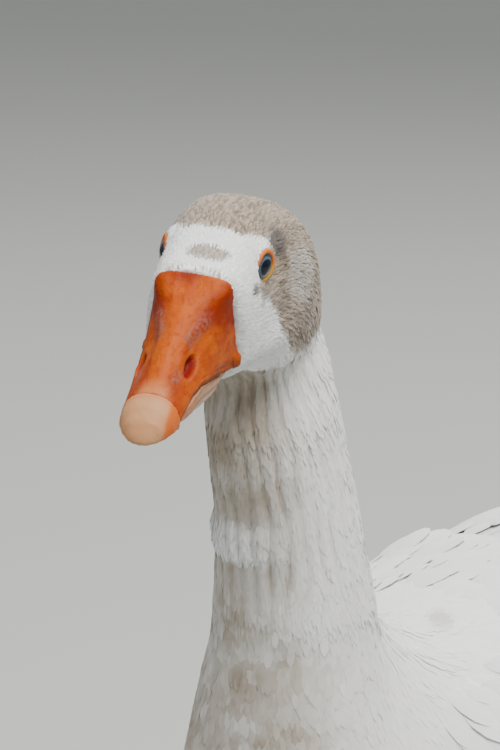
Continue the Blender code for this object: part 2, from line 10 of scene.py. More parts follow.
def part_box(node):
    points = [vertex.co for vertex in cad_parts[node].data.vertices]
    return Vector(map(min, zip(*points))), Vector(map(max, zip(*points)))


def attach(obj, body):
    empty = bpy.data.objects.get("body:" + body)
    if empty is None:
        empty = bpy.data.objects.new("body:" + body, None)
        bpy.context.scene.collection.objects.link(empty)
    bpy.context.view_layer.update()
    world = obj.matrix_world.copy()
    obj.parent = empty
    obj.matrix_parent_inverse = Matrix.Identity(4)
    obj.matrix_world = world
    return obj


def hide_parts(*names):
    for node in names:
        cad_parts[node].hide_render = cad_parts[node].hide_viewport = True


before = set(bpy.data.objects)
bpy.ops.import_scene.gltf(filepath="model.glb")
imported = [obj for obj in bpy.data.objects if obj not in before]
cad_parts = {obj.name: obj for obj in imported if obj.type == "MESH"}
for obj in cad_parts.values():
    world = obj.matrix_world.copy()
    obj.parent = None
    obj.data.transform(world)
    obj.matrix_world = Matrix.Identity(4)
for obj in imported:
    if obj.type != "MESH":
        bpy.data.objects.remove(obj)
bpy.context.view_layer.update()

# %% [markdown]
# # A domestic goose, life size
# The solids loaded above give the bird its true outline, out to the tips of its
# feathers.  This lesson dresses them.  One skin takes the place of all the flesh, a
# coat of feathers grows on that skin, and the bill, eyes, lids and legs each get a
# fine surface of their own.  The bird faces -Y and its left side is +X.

MM = 0.001
SIDES = {"left": 1.0, "right": -1.0}

# %% [markdown]
# ## Where the head is
# The head is turned to the bird's left, bowed and tilted a little.  Everything on it
# is easier to place in its own frame, whose origin lies midway between the eyes.  A
# place there is written (forward, left, up) in millimetres.

# %% The head's frame
HEAD_TURN_DEG = 21.7
HEAD_BOW_DEG = 10.5
HEAD_LEAN_DEG = 6.0


def middle_of(node):
    """Centre of a solid's box."""
    low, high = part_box(node)
    return (Vector(low) + Vector(high)) / 2.0


def turned(degrees, axis):
    """Rotation about one axis."""
    return Matrix.Rotation(math.radians(degrees), 4, axis)


eyes_middle = (middle_of("eye_left") + middle_of("eye_right")) / 2.0
head_turn = turned(HEAD_TURN_DEG, "Z") @ turned(HEAD_BOW_DEG, "X") @ turned(HEAD_LEAN_DEG, "Y")
head_frame = Matrix.Translation(eyes_middle) @ head_turn
head_axes = np.array(head_turn.to_3x3())


def in_head(points):
    """Forward, left and up of points, in millimetres."""
    local = (points - np.array(eyes_middle)) @ head_axes / MM
    return -local[:, 1], local[:, 0], local[:, 2]


def from_head(forward, left, up):
    """Point of the scene for a place on the head."""
    return head_frame @ Vector((left * MM, -forward * MM, up * MM))


print("midway between the eyes:", [round(value, 4) for value in eyes_middle])

# %% The lines of sight
EYE_RADIUS = 9.5
OPENING_STRETCH = 0.13
STRETCH_TOWARD_DEG = 230.0
SIGHT_FORWARD_DEG = 25.0
SIGHT_RISE_DEG = 4.0


def sight_frame(side):
    """Frame of one eye: Z is the line of sight, Y is up."""
    middle = middle_of("eye_left" if side > 0 else "eye_right")
    look, rise = math.radians(SIGHT_FORWARD_DEG), math.radians(SIGHT_RISE_DEG)
    level = np.array([side * math.cos(look), -math.sin(look), 0.0])
    z_way = head_axes @ (level * math.cos(rise) + np.array([0.0, 0.0, math.sin(rise)]))
    x_way = np.cross(head_axes @ np.array([0.0, 0.0, 1.0]), z_way)
    x_way /= np.linalg.norm(x_way)
    axes = Matrix([[*row] for row in np.array([x_way, np.cross(z_way, x_way), z_way]).T])
    return Matrix.Translation(middle) @ axes.to_4x4()


def in_sight(points, side):
    """Points in the frame of one eye, in millimetres."""
    to_eye = np.array(sight_frame(side).inverted())
    return (points @ to_eye[:3, :3].T + to_eye[:3, 3]) / MM


def stretch_angle(side):
    """Angle toward which the opening of one eye is longest."""
    return math.radians(STRETCH_TOWARD_DEG if side > 0 else 180.0 - STRETCH_TOWARD_DEG)


print("eyes look ahead by", SIGHT_FORWARD_DEG, "degrees")

# %% [markdown]
# ## Camera
# The camera stands a little above the head, on the bird's left front, with a long
# lens, so that the face is barely distorted.  A long lens is set with its focal
# length, and not by cropping.

# %% Camera
CAMERA_AZIMUTH_DEG = 36.0
CAMERA_RISE_DEG = 15.0
CAMERA_DISTANCE = 1.2
CAMERA_LENS_MM = 163.4
AIM_RIGHT = 0.0118
AIM_BELOW = 0.0418


def place_round_head(item, azimuth, rise, offset):
    """Put a camera or a lamp round the head, turned to face it."""
    facing = turned(azimuth, "Z") @ turned(90.0 - rise, "X")
    item.matrix_world = Matrix.Translation(eyes_middle) @ facing @ Matrix.Translation(offset)
    bpy.context.scene.collection.objects.link(item)


camera_data = bpy.data.cameras.new("portrait_lens")
camera_data.lens = CAMERA_LENS_MM
camera = bpy.data.objects.new("camera", camera_data)
place_round_head(camera, CAMERA_AZIMUTH_DEG, CAMERA_RISE_DEG, (AIM_RIGHT, -AIM_BELOW, CAMERA_DISTANCE))
bpy.context.scene.camera = camera
print("camera stands", round(camera.matrix_world.translation.z, 3), "m above the floor")

# %% [markdown]
# ## Wiring nodes
# Materials and Geometry Nodes are both trees of nodes.  A small class adds a node, sets
# its options, fills or links its inputs and hands back an output, so that each finish
# below reads like a recipe.


# %% Short calls for trees and finishes
class Wires:
    """Wires one node tree; inputs are values or the outputs of other nodes."""

    def __init__(self, tree):
        self.tree = tree

    def add(self, kind, inputs=None, output=0, **settings):
        """Add a node, set its options, fill or link its inputs, and give one output."""
        made = self.tree.nodes.new(kind)
        for key, value in settings.items():
            setattr(made, key, value)
        for key, value in (inputs or {}).items():
            named = [s for s in made.inputs if s.name == key and s.enabled]
            socket = named[0] if named else made.inputs[key]
            if isinstance(value, bpy.types.NodeSocket):
                self.tree.links.new(value, socket)
            else:
                socket.default_value = (*value, 1.0) if socket.type == "RGBA" else value
        if not made.outputs:
            return None
        named = [s for s in made.outputs if s.name == output and s.enabled]
        return named[0] if named else made.outputs[output]

    def maths(self, operation, first, second=0.0):
        """One step of arithmetic."""
        return self.add("ShaderNodeMath", {0: first, 1: second}, operation=operation)

    def times(self, first, second, plus=0.0, clamp=False):
        """A product, and a sum with it."""
        return self.add("ShaderNodeMath", {0: first, 1: second, 2: plus},
                        operation="MULTIPLY_ADD", use_clamp=clamp)


class Finish(Wires):
    """A material, whose shader's constant sockets are set by name."""

    def __init__(self, name, **constants):
        self.material = bpy.data.materials.new(name)
        self.material.use_nodes = True
        super().__init__(self.material.node_tree)
        self.shader = self.tree.nodes["Principled BSDF"].inputs
        self.spaces = self.add("ShaderNodeTexCoord", output="Object")
        for key, value in constants.items():
            self.shader[key.replace("_", " ")].default_value = value

    def noise(self, scale, detail=3.0, places=None):
        """Smooth noise over the object."""
        return self.add("ShaderNodeTexNoise", {"Vector": self.spaces if places is None else places,
                                               "Scale": scale, "Detail": detail, "Roughness": 0.55})

    def field(self, name):
        """A number stored on the mesh."""
        return self.add("ShaderNodeAttribute", output="Fac", attribute_name=name)

    def ramp(self, value, start, end):
        """Ease a value from 0 at the start to 1 at the end."""
        return self.add("ShaderNodeMapRange", {"Value": value, "From Min": start, "From Max": end},
                        interpolation_type="SMOOTHSTEP")

    def mix(self, share, first, second, blend_type="MIX"):
        """Mix two colours, each a value or an output."""
        return self.add("ShaderNodeMix", {0: share, 6: first, 7: second}, 2,
                        data_type="RGBA", blend_type=blend_type)

    def tint(self, colour, *layers):
        """Lay colours over one another, each by its share: an output or a field's name."""
        for share, colour_over in layers:
            colour = self.mix(self.field(share) if isinstance(share, str) else share,
                              colour, colour_over)
        return colour

    def wear(self, colour, grain=None, distance=0.0, strength=0.0):
        """Send a colour and a bump to the shader, and give the material."""
        self.tree.links.new(colour, self.shader["Base Color"])
        if grain is not None:
            bump = self.add("ShaderNodeBump", {"Height": grain, "Distance": distance,
                                               "Strength": strength})
            self.tree.links.new(bump, self.shader["Normal"])
        return self.material


print("calls for a finish:", [name for name in vars(Finish) if not name.startswith("_")])

# %% [markdown]
# ## Floor and light
# The floor is pale but darker than the plumage, which lets the white feathers read.
# One broad lamp gives soft daylight from above, and two weak ones open the shadows.

# %% Floor and lamps
FLOOR_REACH = 9.0
FLOOR_COLOUR = (0.43, 0.44, 0.41)
FLOOR_PALER = 1.05
SKY_COLOUR = (0.86, 0.88, 0.90, 1.0)
SKY_STRENGTH = 0.49
LAMPS = {  # azimuth, rise, distance, size, power, colour
    "sky_lamp": (84.0, 66.0, 2.2, 1.6, 112.0, (1.0, 0.985, 0.96)),
    "front_lamp": (5.0, 30.0, 2.4, 2.0, 13.5, (0.95, 0.98, 1.0)),
    "rear_lamp": (200.0, 40.0, 2.4, 1.6, 38.0, (1.0, 1.0, 1.0)),
}


def mesh_of(name, form):
    """Turn an edited form into a mesh."""
    mesh = bpy.data.meshes.new(name)
    form.to_mesh(mesh)
    form.free()
    return mesh


def new_piece(name, mesh):
    """Show a mesh as an object at the origin."""
    piece = bpy.data.objects.new(name, mesh)
    bpy.context.scene.collection.objects.link(piece)
    return piece


def make_floor():
    """A wide floor that fills the view behind the bird."""
    form = bmesh.new()
    bmesh.ops.create_grid(form, x_segments=2, y_segments=2, size=FLOOR_REACH)
    floor = new_piece("floor", mesh_of("floor", form))
    paint = Finish("floor_finish", Roughness=0.9)
    paler = tuple(value * FLOOR_PALER for value in FLOOR_COLOUR)
    floor.data.materials.append(paint.wear(paint.mix(paint.noise(3.0, 4.0), FLOOR_COLOUR, paler)))


make_floor()
for name, (azimuth, rise, distance, size, power, colour) in LAMPS.items():
    light = bpy.data.lights.new(name, "AREA")
    light.size = size
    light.energy = power
    light.color = colour
    place_round_head(bpy.data.objects.new(name, light), azimuth, rise, (0, 0, distance))
world = bpy.data.worlds.new("studio")
world.use_nodes = True
sky = world.node_tree.nodes["Background"].inputs
sky[0].default_value = SKY_COLOUR
sky[1].default_value = SKY_STRENGTH
bpy.context.scene.world = world
print("lamps:", [item.name for item in bpy.data.lights])

# %% [markdown]
# ## From parted solids to one fine surface
# The solids are cut apart and coarse.  A voxel remesh of a copy, grown a little so
# that the thin cuts close, gives one even skin of small faces.  It could also be
# sculpted, but a remesh keeps every measure of the solids.  The same helper makes the
# fine bill, legs and claws, with smaller voxels.


# %% Helpers that read and write meshes
def read_rows(rows, name, width=3):
    """A vector of each row of a collection, as one array."""
    values = np.empty(len(rows) * width)
    rows.foreach_get(name, values)
    return values.reshape(-1, width)


def points_of(mesh):
    """Places of the corners."""
    return read_rows(mesh.vertices, "co")


def normals_of(mesh):
    """Outward directions at the corners."""
    return read_rows(mesh.vertex_normals, "vector")


def set_points(mesh, points):
    """Move the corners."""
    mesh.vertices.foreach_set("co", points.ravel())
    mesh.update()


def put_field(mesh, name, values):
    """Store a number or a vector at each corner."""
    kind = "FLOAT_VECTOR" if values.ndim == 2 else "FLOAT"
    field = mesh.attributes.new(name, kind, "POINT")
    field.data.foreach_set("vector" if values.ndim == 2 else "value", values.ravel())


def put_shares(mesh, **shares):
    """Store shares, kept between 0 and 1."""
    for name, values in shares.items():
        put_field(mesh, name, np.clip(values, 0.0, 1.0))


def ease(values, start, end):
    """Smooth step of an array from 0 at the start to 1 at the end."""
    t = np.clip((values - start) / (end - start), 0.0, 1.0)
    return t * t * (3.0 - 2.0 * t)


def fall(values, start, end):
    """Smooth step from 1 at the start to 0 at the end."""
    return 1.0 - ease(values, start, end)


def hump(values, centre, width):
    """Soft bump of height 1 about a centre."""
    return np.exp(-((values - centre) / width) ** 2)


def read_table(table, at):
    """Columns of a table, read straight between its rows; the first column says where."""
    stations, *columns = np.array(table, dtype=float).T
    return [np.interp(at, stations, column) for column in columns]


def rough_noise(points, scale, seed=0.0):
    """Smooth noise of points, between about -1 and 1."""
    shift = Vector((seed, seed * 1.7, -seed))
    return np.array([noise.noise(Vector(p) * scale + shift) for p in points])


def laid_flat(ways, outs):
    """Directions laid flat on the skin."""
    return ways - outs * (ways * outs).sum(axis=1)[:, None]


def of_length_one(ways):
    """Directions of length 1."""
    return ways / np.maximum(np.linalg.norm(ways, axis=1), 1e-6)[:, None]


def settle(piece):
    """Replace a piece's mesh by what its modifiers make of it."""
    bpy.context.view_layer.update()
    graph = bpy.context.evaluated_depsgraph_get()
    mesh = bpy.data.meshes.new_from_object(piece.evaluated_get(graph))
    piece.modifiers.clear()
    piece.data = mesh
    return mesh


def joined_copy(nodes, grow=0.0, keep_below_y=None):
    """Copies of solids in one mesh, each grown by a little all round."""
    joined = bmesh.new()
    for node in nodes:
        form = bmesh.new()
        form.from_mesh(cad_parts[node].data)
        bmesh.ops.remove_doubles(form, verts=form.verts, dist=0.000002)
        if keep_below_y is not None:
            cut = bmesh.ops.bisect_plane(form, geom=form.verts[:] + form.edges[:] + form.faces[:],
                                         plane_co=(0, keep_below_y, 0), plane_no=(0, 1, 0),
                                         clear_outer=True)
            rim = [item for item in cut["geom_cut"] if isinstance(item, bmesh.types.BMEdge)]
            bmesh.ops.holes_fill(form, edges=rim)
        form.normal_update()
        for corner in form.verts:
            corner.co += corner.normal * grow
        joined.from_mesh(mesh_of(node + "_copy", form))
    return mesh_of("joined", joined)


def polygons_of(mesh):
    """Corners and faces of a mesh, as a search tree takes them."""
    return [v.co for v in mesh.vertices], [tuple(face.vertices) for face in mesh.polygons]


def fine_piece(name, mesh, voxel, smooth_steps):
    """Remesh a closed form into even small faces and smooth it."""
    piece = new_piece(name, mesh)
    remesh = piece.modifiers.new("even_faces", "REMESH")
    remesh.mode = "VOXEL"
    remesh.voxel_size = voxel
    soften = piece.modifiers.new("soften", "SMOOTH")
    soften.factor = 0.5
    soften.iterations = smooth_steps
    settle(piece).shade_smooth()
    return piece


def dress(piece, finish=None, nodes=()):
    """Give a piece its finish and its body, and hide the solids it stands for."""
    if finish is not None:
        piece.data.materials.clear()
        piece.data.materials.append(finish)
    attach(piece, "root")
    if nodes:
        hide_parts(*nodes)


# %% The bare skin
SKIN_VOXEL = 2.8 * MM
SKIN_GROWTH = 0.3 * MM
SKIN_NODES = ["trunk", "neck_lower", "neck_middle", "neck_upper", "head",
              "thigh_left", "thigh_right", "wing_left", "wing_right"]
FAN_NODES = ["tail", "primaries_left", "primaries_right"]
FAN_ROOT = 0.012

skin_form = bmesh.new()
skin_form.from_mesh(joined_copy(SKIN_NODES + ["eye_left", "eye_right"], SKIN_GROWTH))
surface = BVHTree.FromBMesh(skin_form)
fan_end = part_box("trunk")[1][1] - FAN_ROOT
skin_form.from_mesh(joined_copy(FAN_NODES, SKIN_GROWTH * 2.0, fan_end))
skin = fine_piece("goose_skin", mesh_of("skin", skin_form), SKIN_VOXEL, 3)
print("skin corners before refining:", len(skin.data.vertices))

# %% [markdown]
# ## Finer faces on the head and neck
# The head and neck are halved into smaller faces, and the head is pressed back on its
# solid.  The necks' solids end in a rim about 45 cm above the floor.  Smoothing it in
# one band would leave a crease at that band's foot, so many bands are nested, each a
# little shorter than the last, and the rim fades out.

# %% Refining
NECK_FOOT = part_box("neck_lower")[0][2] + 0.012
HEAD_FOOT = 0.478
PRESS_SHARE = 0.85
RIM_BAND_FEET = np.linspace(0.414, 0.444, 13)
RIM_BAND_TOP = 0.482


def refine_head_and_neck(mesh):
    """Halve the faces above the neck's foot, press the head on its solid, smooth the neck."""
    form = bmesh.new()
    form.from_mesh(mesh)
    fine = [edge for edge in form.edges
            if min(edge.verts[0].co.z, edge.verts[1].co.z) > NECK_FOOT
            and edge.verts[0].co.y < -0.10]
    bmesh.ops.subdivide_edges(form, edges=fine, cuts=1, use_grid_fill=True)
    for corner in form.verts:
        if corner.co.z > HEAD_FOOT:
            corner.co = corner.co.lerp(surface.find_nearest(corner.co)[0], PRESS_SHARE)
    upper = [corner for corner in form.verts if corner.co.z > NECK_FOOT - 0.02]
    on_neck = [corner for corner in upper if corner.co.z < HEAD_FOOT + 0.004]
    softer = [upper] * 4 + [on_neck] * 14
    for low in RIM_BAND_FEET:
        top = RIM_BAND_TOP - 0.3 * (low - RIM_BAND_FEET[0])
        softer += [[corner for corner in on_neck if low < corner.co.z < top]] * 8
    for softened in softer:
        bmesh.ops.smooth_vert(form, verts=softened, factor=0.5, use_axis_x=True,
                              use_axis_y=True, use_axis_z=True)
    bmesh.ops.triangulate(form, faces=[face for face in form.faces if len(face.verts) > 4])
    form.to_mesh(mesh)
    form.free()
    mesh.shade_smooth()


refine_head_and_neck(skin.data)
print("skin corners:", len(skin.data.vertices))

# %% [markdown]
# ## Which way the feathers lie
# Feathers lie from the bill backwards over the crown, down the neck and back along
# the trunk.  A line through the middle of the bird gives that direction: each place on
# the skin takes it from the nearest stretch of the line, and the direction is then
# laid flat on the skin.  On the thigh it turns down the leg.  The distance along the
# line also tells head from neck.

# %% A line through the bird
STEPS_PER_STATION = 16
SPREAD = 0.012
DOWN_THE_LEG = np.array([0.0, 0.35, -0.94])


def smooth_line(stations):
    """Points on a smooth curve through the stations."""
    stations = np.array([tuple(s) for s in stations])
    padded = np.vstack([stations[:1], stations, stations[-1:]])
    line = []
    for i in range(len(stations) - 1):
        p0, p1, p2, p3 = padded[i:i + 4]
        for t in np.arange(STEPS_PER_STATION) / STEPS_PER_STATION:
            line.append(0.5 * (2 * p1 + (p2 - p0) * t + (2 * p0 - 5 * p1 + 4 * p2 - p3) * t ** 2
                               + (3 * p1 - p0 - 3 * p2 + p3) * t ** 3))
    line.append(stations[-1])
    return np.array(line)


trunk_low, trunk_high = (Vector(corner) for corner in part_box("trunk"))
spine = smooth_line([
    from_head(34, 0, -10), from_head(0, 0, -8), from_head(-30, 0, -14),
    middle_of("neck_upper"), middle_of("neck_middle"), middle_of("neck_lower"),
    Vector((0, trunk_low.y + 0.075, trunk_low.z + 0.14)),
    Vector((0, trunk_low.y + 0.155, trunk_low.z + 0.12)),
    middle_of("trunk"), middle_of("tail"),
])
spine_steps = np.diff(spine, axis=0)
spine_along = np.concatenate([[0.0], np.cumsum(np.linalg.norm(spine_steps, axis=1))])
spine_ways = np.gradient(spine, axis=0)
spine_ways /= np.linalg.norm(spine_ways, axis=1)[:, None]


def along_spine(points):
    """Distance along the spine and the way it runs, both smoothed, at each point."""
    gaps = np.linalg.norm(points[:, None, :] - spine[None, :, :], axis=2)
    weights = np.exp(-((gaps - gaps.min(axis=1)[:, None]) / SPREAD) ** 2)
    weights /= weights.sum(axis=1)[:, None]
    return weights @ spine_along, weights @ spine_ways


places = points_of(skin.data)
outward = normals_of(skin.data)
along, ways = along_spine(places)
thigh_share = ease(-places[:, 2], -(trunk_low.z + 0.030), -(trunk_low.z - 0.004))
ways = ways * (1.0 - thigh_share)[:, None] + DOWN_THE_LEG * thigh_share[:, None]
lie = of_length_one(laid_flat(ways, outward))
print("length of the spine, m:", round(spine_along[-1], 3))

# %% [markdown]
# ## Regions of the coat
# Feathers grow in tracts of like size.  Each tract is a share between 0 and 1 at every
# place, and neighbouring tracts overlap a little, so that no line shows between them.

# %% Tracts as shares
forward, left, up = in_head(places)
height = places[:, 2]
head_share = ease(height, 0.470, 0.486) * ease(-along, -0.125, -0.095)
face_share = ease(forward + 0.25 * np.abs(up + 8), -14.0, 4.0) * head_share
neck_share = ease(height, trunk_high.z - 0.012, trunk_high.z + 0.008) * (1.0 - head_share)
neck_share *= ease(-places[:, 1], 0.115, 0.125)
breast_share = fall(places[:, 1], -0.165, -0.115) * (1.0 - neck_share) * (1.0 - head_share)
body_share = np.clip(1.0 - head_share - neck_share - breast_share, 0.0, 1.0)
wing_tree = BVHTree.FromPolygons(*polygons_of(joined_copy(["wing_left", "wing_right"])))
wing_gap = np.array([wing_tree.find_nearest(Vector(p))[3] for p in places])
wing_share = fall(wing_gap, 0.0016, 0.0030)
print("mean shares:", [round(float(s.mean()), 3) for s in
                       (face_share, head_share, neck_share, breast_share, body_share)])

# %% [markdown]
# ## Draw the skin in by the depth of the coat
# The skin lies inside the solids by as much as the feathers stand off it.  The same
# step makes what shows through a thin coat: the furrows that run down a goose's neck,
# the pale band round it, the jaw, and the hump of the back where the wing begins.
# The neck is darker on one side, where shade is painted: REARWARD is the level direction in which that
# painted shade fades.

# %% Depth, pleats and humps
PLEATS = 25
PLEAT_HEIGHT = 2.2 * MM
REARWARD = (0.81, 0.59)
BAND_SWELL = 1.0 * MM
JAW_SWELL = 1.8 * MM
NAPE_SWELL = 1.2 * MM
SHOULDER_HUMP = 2.6 * MM
depth = (head_share * (0.7 + 0.3 * (1.0 - face_share)) + neck_share * 2.1
         + breast_share * 3.4 + body_share * 4.0) * MM


def from_neck_axis(points):
    """Left and back of points from the middle of the neck at their height."""
    rising = spine[::-1][-100:]
    return (points[:, 0] - np.interp(points[:, 2], rising[:, 2], rising[:, 0]),
            points[:, 1] - np.interp(points[:, 2], rising[:, 2], rising[:, 1]))


def neck_pleats(points):
    """Height of the ridges between the furrows that run down a goose's neck."""
    around = np.arctan2(to_left, -to_back)
    sway = rough_noise(points * np.array([1.0, 1.0, 0.8]), 55.0)
    breaks = 0.75 + 0.7 * rough_noise(points * np.array([1.0, 1.0, 0.6]), 90.0, 7.0)
    ridge = np.abs(np.cos(0.5 * PLEATS * around + 1.8 * sway)) ** 0.8
    return 1.0 - (1.0 - ridge) * np.clip(breaks, 0.1, 1.2)


to_left, to_back = from_neck_axis(places)
rearward = REARWARD[0] * to_left + REARWARD[1] * to_back
rear_side = ease(rearward, -0.014, 0.016)
pleat = neck_pleats(places)
pleat_share = neck_share * ease(height, trunk_high.z - 0.004, trunk_high.z + 0.030)
band = ease(height, 0.404, 0.412) * fall(height, 0.417, 0.423)
band *= fall(rearward, -0.020, 0.002)
swell = (pleat - 0.6) * pleat_share * PLEAT_HEIGHT * (1.0 - 0.6 * rear_side) + band * BAND_SWELL
jaw = np.exp(-((up + 32.0) / 6.0) ** 2 - (forward / 14.0) ** 2) * ease(np.abs(left), 3.0, 9.0)
swell += jaw * head_share * JAW_SWELL
swell += NAPE_SWELL * head_share * ease(-forward, 14.0, 26.0) * hump(up, -14.0, 14.0)
over_wing = hump(np.abs(places[:, 0]), 0.050, 0.022) * ease(height, 0.30, 0.33)
shoulder = hump(places[:, 1], -0.020, 0.012) - 1.1 * hump(places[:, 1], 0.020, 0.017)
swell += SHOULDER_HUMP * over_wing * shoulder
places = places + outward * (swell - depth)[:, None]
print("deepest coat, mm:", round(float(depth.max() / MM), 2))


# %% Round the eyes
def seat_the_eyes(points):
    """Lift the skin over each eyeball, and sink it behind the opening."""
    for side in SIDES.values():
        local = in_sight(points, side)
        reach = np.linalg.norm(local, axis=1)
        off = np.hypot(local[:, 0], local[:, 1])
        turn = np.arctan2(local[:, 1], local[:, 0]) - stretch_angle(side)
        opened = fall(off / (1.0 + OPENING_STRETCH * np.cos(2.0 * turn)), 4.5, 5.4)
        target = np.maximum(reach, EYE_RADIUS + 0.7) * (1.0 - opened) + (EYE_RADIUS - 0.8) * opened
        near = (local[:, 2] > 0.0) * (reach < 14.0)
        centre = np.array(sight_frame(side).translation)
        seated = centre + (points - centre) * (target / reach)[:, None]
        points = np.where(near[:, None], seated, points)
    return points


places = seat_the_eyes(places)
set_points(skin.data, places)
outward = normals_of(skin.data)
print("skin lies in by", round(float(depth.mean() / MM), 2), "mm on average")

# %% [markdown]
# ## Markings
# The bird is white, with a grey-brown cap that runs behind the eye and down the cheek,
# an odd grey patch on the brow, and a neck that is duller than the face.  Painted shade
# darkens the neck further on its side away from the light, toward the jaw and in its
# furrows, and the breast on its front.  The shares are stored on the skin, and each
# feather takes the share at its root, which makes the borders ragged, as they are on the
# bird.

# %% Cap and cheek
CAP_FRONT = 8.0
CAP_SIDE_DROP = 13.0
CHEEK_EDGE = ((-45, -24), (-38, -17), (-28, -5.5), (-20, -1.5), (-12, 5), (-4, 14), (3, 2), (9, -6))
CHEEK_BOTTOM = -39.0
BROW_MIDDLE = (19.8, 1.4)
BROW_HALF = (3.6, 7.8)
DARK_SPOTS = (  # strength, forward, left, up, size
    (1.0, -10.5, 19.6, 4.5, 6.5), (0.9, 15.0, 18.6, -3.4, 3.0), (0.5, 9.0, 20.0, -9.0, 3.4),
    (0.6, 18.3, 8.6, 10.2, 1.6), (0.3, -24.0, 27.0, -32.0, 8.0),
    (0.75, -10.5, -19.6, 4.5, 5.5), (0.6, 15.0, -18.6, -3.4, 2.8),
)
marked = forward - 1.5 * ease(up, -30.0, -5.0)


def spot(forward_at, left_at, up_at, size):
    """Round share about a place on the head."""
    gap = np.sqrt((marked - forward_at) ** 2 + (left - left_at) ** 2 + (up - up_at) ** 2)
    return 1.0 - ease(gap, size * 0.55, size)


rag = rough_noise(places, 260.0, 3.0)
cheek_front = read_table(CHEEK_EDGE, up)[0] + 2.2 * rag
crown_front = CAP_FRONT - CAP_SIDE_DROP * (np.abs(left) / 17.0) ** 4 + 1.6 * rag
above_eyes = ease(up, 5.0, 8.0)
cap = above_eyes * fall(marked, crown_front - 1.5, crown_front + 1.0)
side_cap = (1.0 - above_eyes) * fall(marked, cheek_front - 1.5, cheek_front + 1.0)
side_cap *= ease(up - 3.5 * rag, CHEEK_BOTTOM - 4.0, CHEEK_BOTTOM)
side_cap *= ease(np.abs(left) + 0.8 * np.maximum(-marked - 4.0, 0.0), 8.0, 14.0)
cap = np.clip(cap + side_cap, 0.0, 1.0) * ease(height, 0.476, 0.486)
brow = ((marked - BROW_MIDDLE[0]) / BROW_HALF[0]) ** 2 + ((left - BROW_MIDDLE[1]) / BROW_HALF[1]) ** 2
brow = fall(brow + 0.35 * rag, 0.75, 1.15) * ease(up, 2.0, 5.0)
cap = np.maximum(cap, brow * 0.85)
cap *= 1.0 - 0.24 * spot(-23.0, 25.0, -12.0, 14.0)
dark = np.clip(sum(strength * spot(*where) for strength, *where in DARK_SPOTS), 0.0, 1.0)
print("capped share of the head:", round(float(cap[head_share > 0.5].mean()), 3))

# %% Dull neck and breast, with painted shade
SMUDGE_MIDDLE = (0.0145, -0.108)
SMUDGE_HALF = (0.0065, 0.012)

# Painted shade: the neck is darker on its side away from the light and toward the jaw, and the breast on
# its front; the rest is the plumage's own duller colour.
dull = neck_share * (0.70 + 0.32 * ease(height, 0.400, 0.465)) * (1.0 - 0.84 * rear_side)
dull += breast_share * (0.92 - 0.80 * ease(rearward, -0.016, 0.044))
# Painted shade in the furrows of the neck.
dull += 0.7 * (1.0 - pleat) * pleat_share * (1.0 - 0.55 * rear_side)
dull *= 1.0 - 0.95 * band
dull *= 1.0 + 0.35 * rough_noise(places, 60.0, 11.0)
blotches = rough_noise(places * np.array([1.0, 1.0, 1.9]), 165.0, 21.0)
dull *= 1.0 + 0.70 * blotches * fall(height, 0.385, 0.405) * (1.0 - 0.5 * rear_side)
smudge = places[:, :2] - np.array(SMUDGE_MIDDLE)
smudge = np.hypot((REARWARD[0] * smudge[:, 0] + REARWARD[1] * smudge[:, 1]) / SMUDGE_HALF[0],
                  (REARWARD[0] * smudge[:, 1] - REARWARD[1] * smudge[:, 0]) / SMUDGE_HALF[1])
dull += 0.6 * fall(smudge, 0.35, 1.0) * ease(height, 0.30, 0.33)
dull = np.clip(dull, 0.0, 1.0)
print("mean dullness of the neck:", round(float(dull[neck_share > 0.5].mean()), 3))

# %% [markdown]
# ## What each root knows
# Besides its markings, a root needs the way its feather lies, how far it lifts and how
# large it grows.  Feathers turn away from the eye, run straight down the neck and the
# thigh, and are shorter at the bill, the jaw and the end of the rump.

# %% Lie, lift and growth
BILL_EDGE = 31.0
AXIS_HEIGHT = trunk_low.z + 0.118
LOW_EDGE = ((0.05, -40.0), (0.08, -20.0), (0.12, -4.0), (0.158, 10.0))

growth = 1.0 - 0.35 * face_share * ease(forward, 0.0, 26.0)
growth *= 1.0 - 0.6 * ease(places[:, 1], 0.170, 0.215)
growth *= 1.0 - 0.4 * head_share * jaw
thigh_middle = middle_of("thigh_left")
thigh_gap = np.hypot(np.abs(places[:, 0]) - thigh_middle.x, places[:, 1] - thigh_middle.y)
on_thigh = fall(thigh_gap, 0.030, 0.044) * fall(height, 0.180, 0.215)
lie += DOWN_THE_LEG * (2.0 * on_thigh)[:, None]
down_the_neck = np.array(middle_of("neck_lower") - middle_of("neck_upper"))
lie += down_the_neck / np.linalg.norm(down_the_neck) * (3.2 * neck_share)[:, None]
eye_clear = np.ones(len(places))
for side in SIDES.values():
    local = in_sight(places, side)
    eye_axes = np.array(sight_frame(side))[:3]
    off = np.hypot(local[:, 0], local[:, 1]) + 40.0 * (local[:, 2] < 2.0)
    away = local[:, 0:1] * eye_axes[:, 0] + local[:, 1:2] * eye_axes[:, 1]
    away /= np.linalg.norm(away, axis=1)[:, None]
    lie += away * (1.9 * hump(np.maximum(off - 5.5, 0.0), 0.0, 2.6))[:, None]
    growth *= 1.0 - 0.45 * fall(off, 6.5, 10.5)
    eye_clear *= ease(off, 5.1, 5.5)
lie = of_length_one(laid_flat(lie, outward))
skin_fields = {"cap": cap, "dark": dark, "dull": dull, "lie": lie, "growth": growth,
               "lift": 1.0 + 1.3 * band * neck_share, "shade": np.full(len(places), 0.5)}

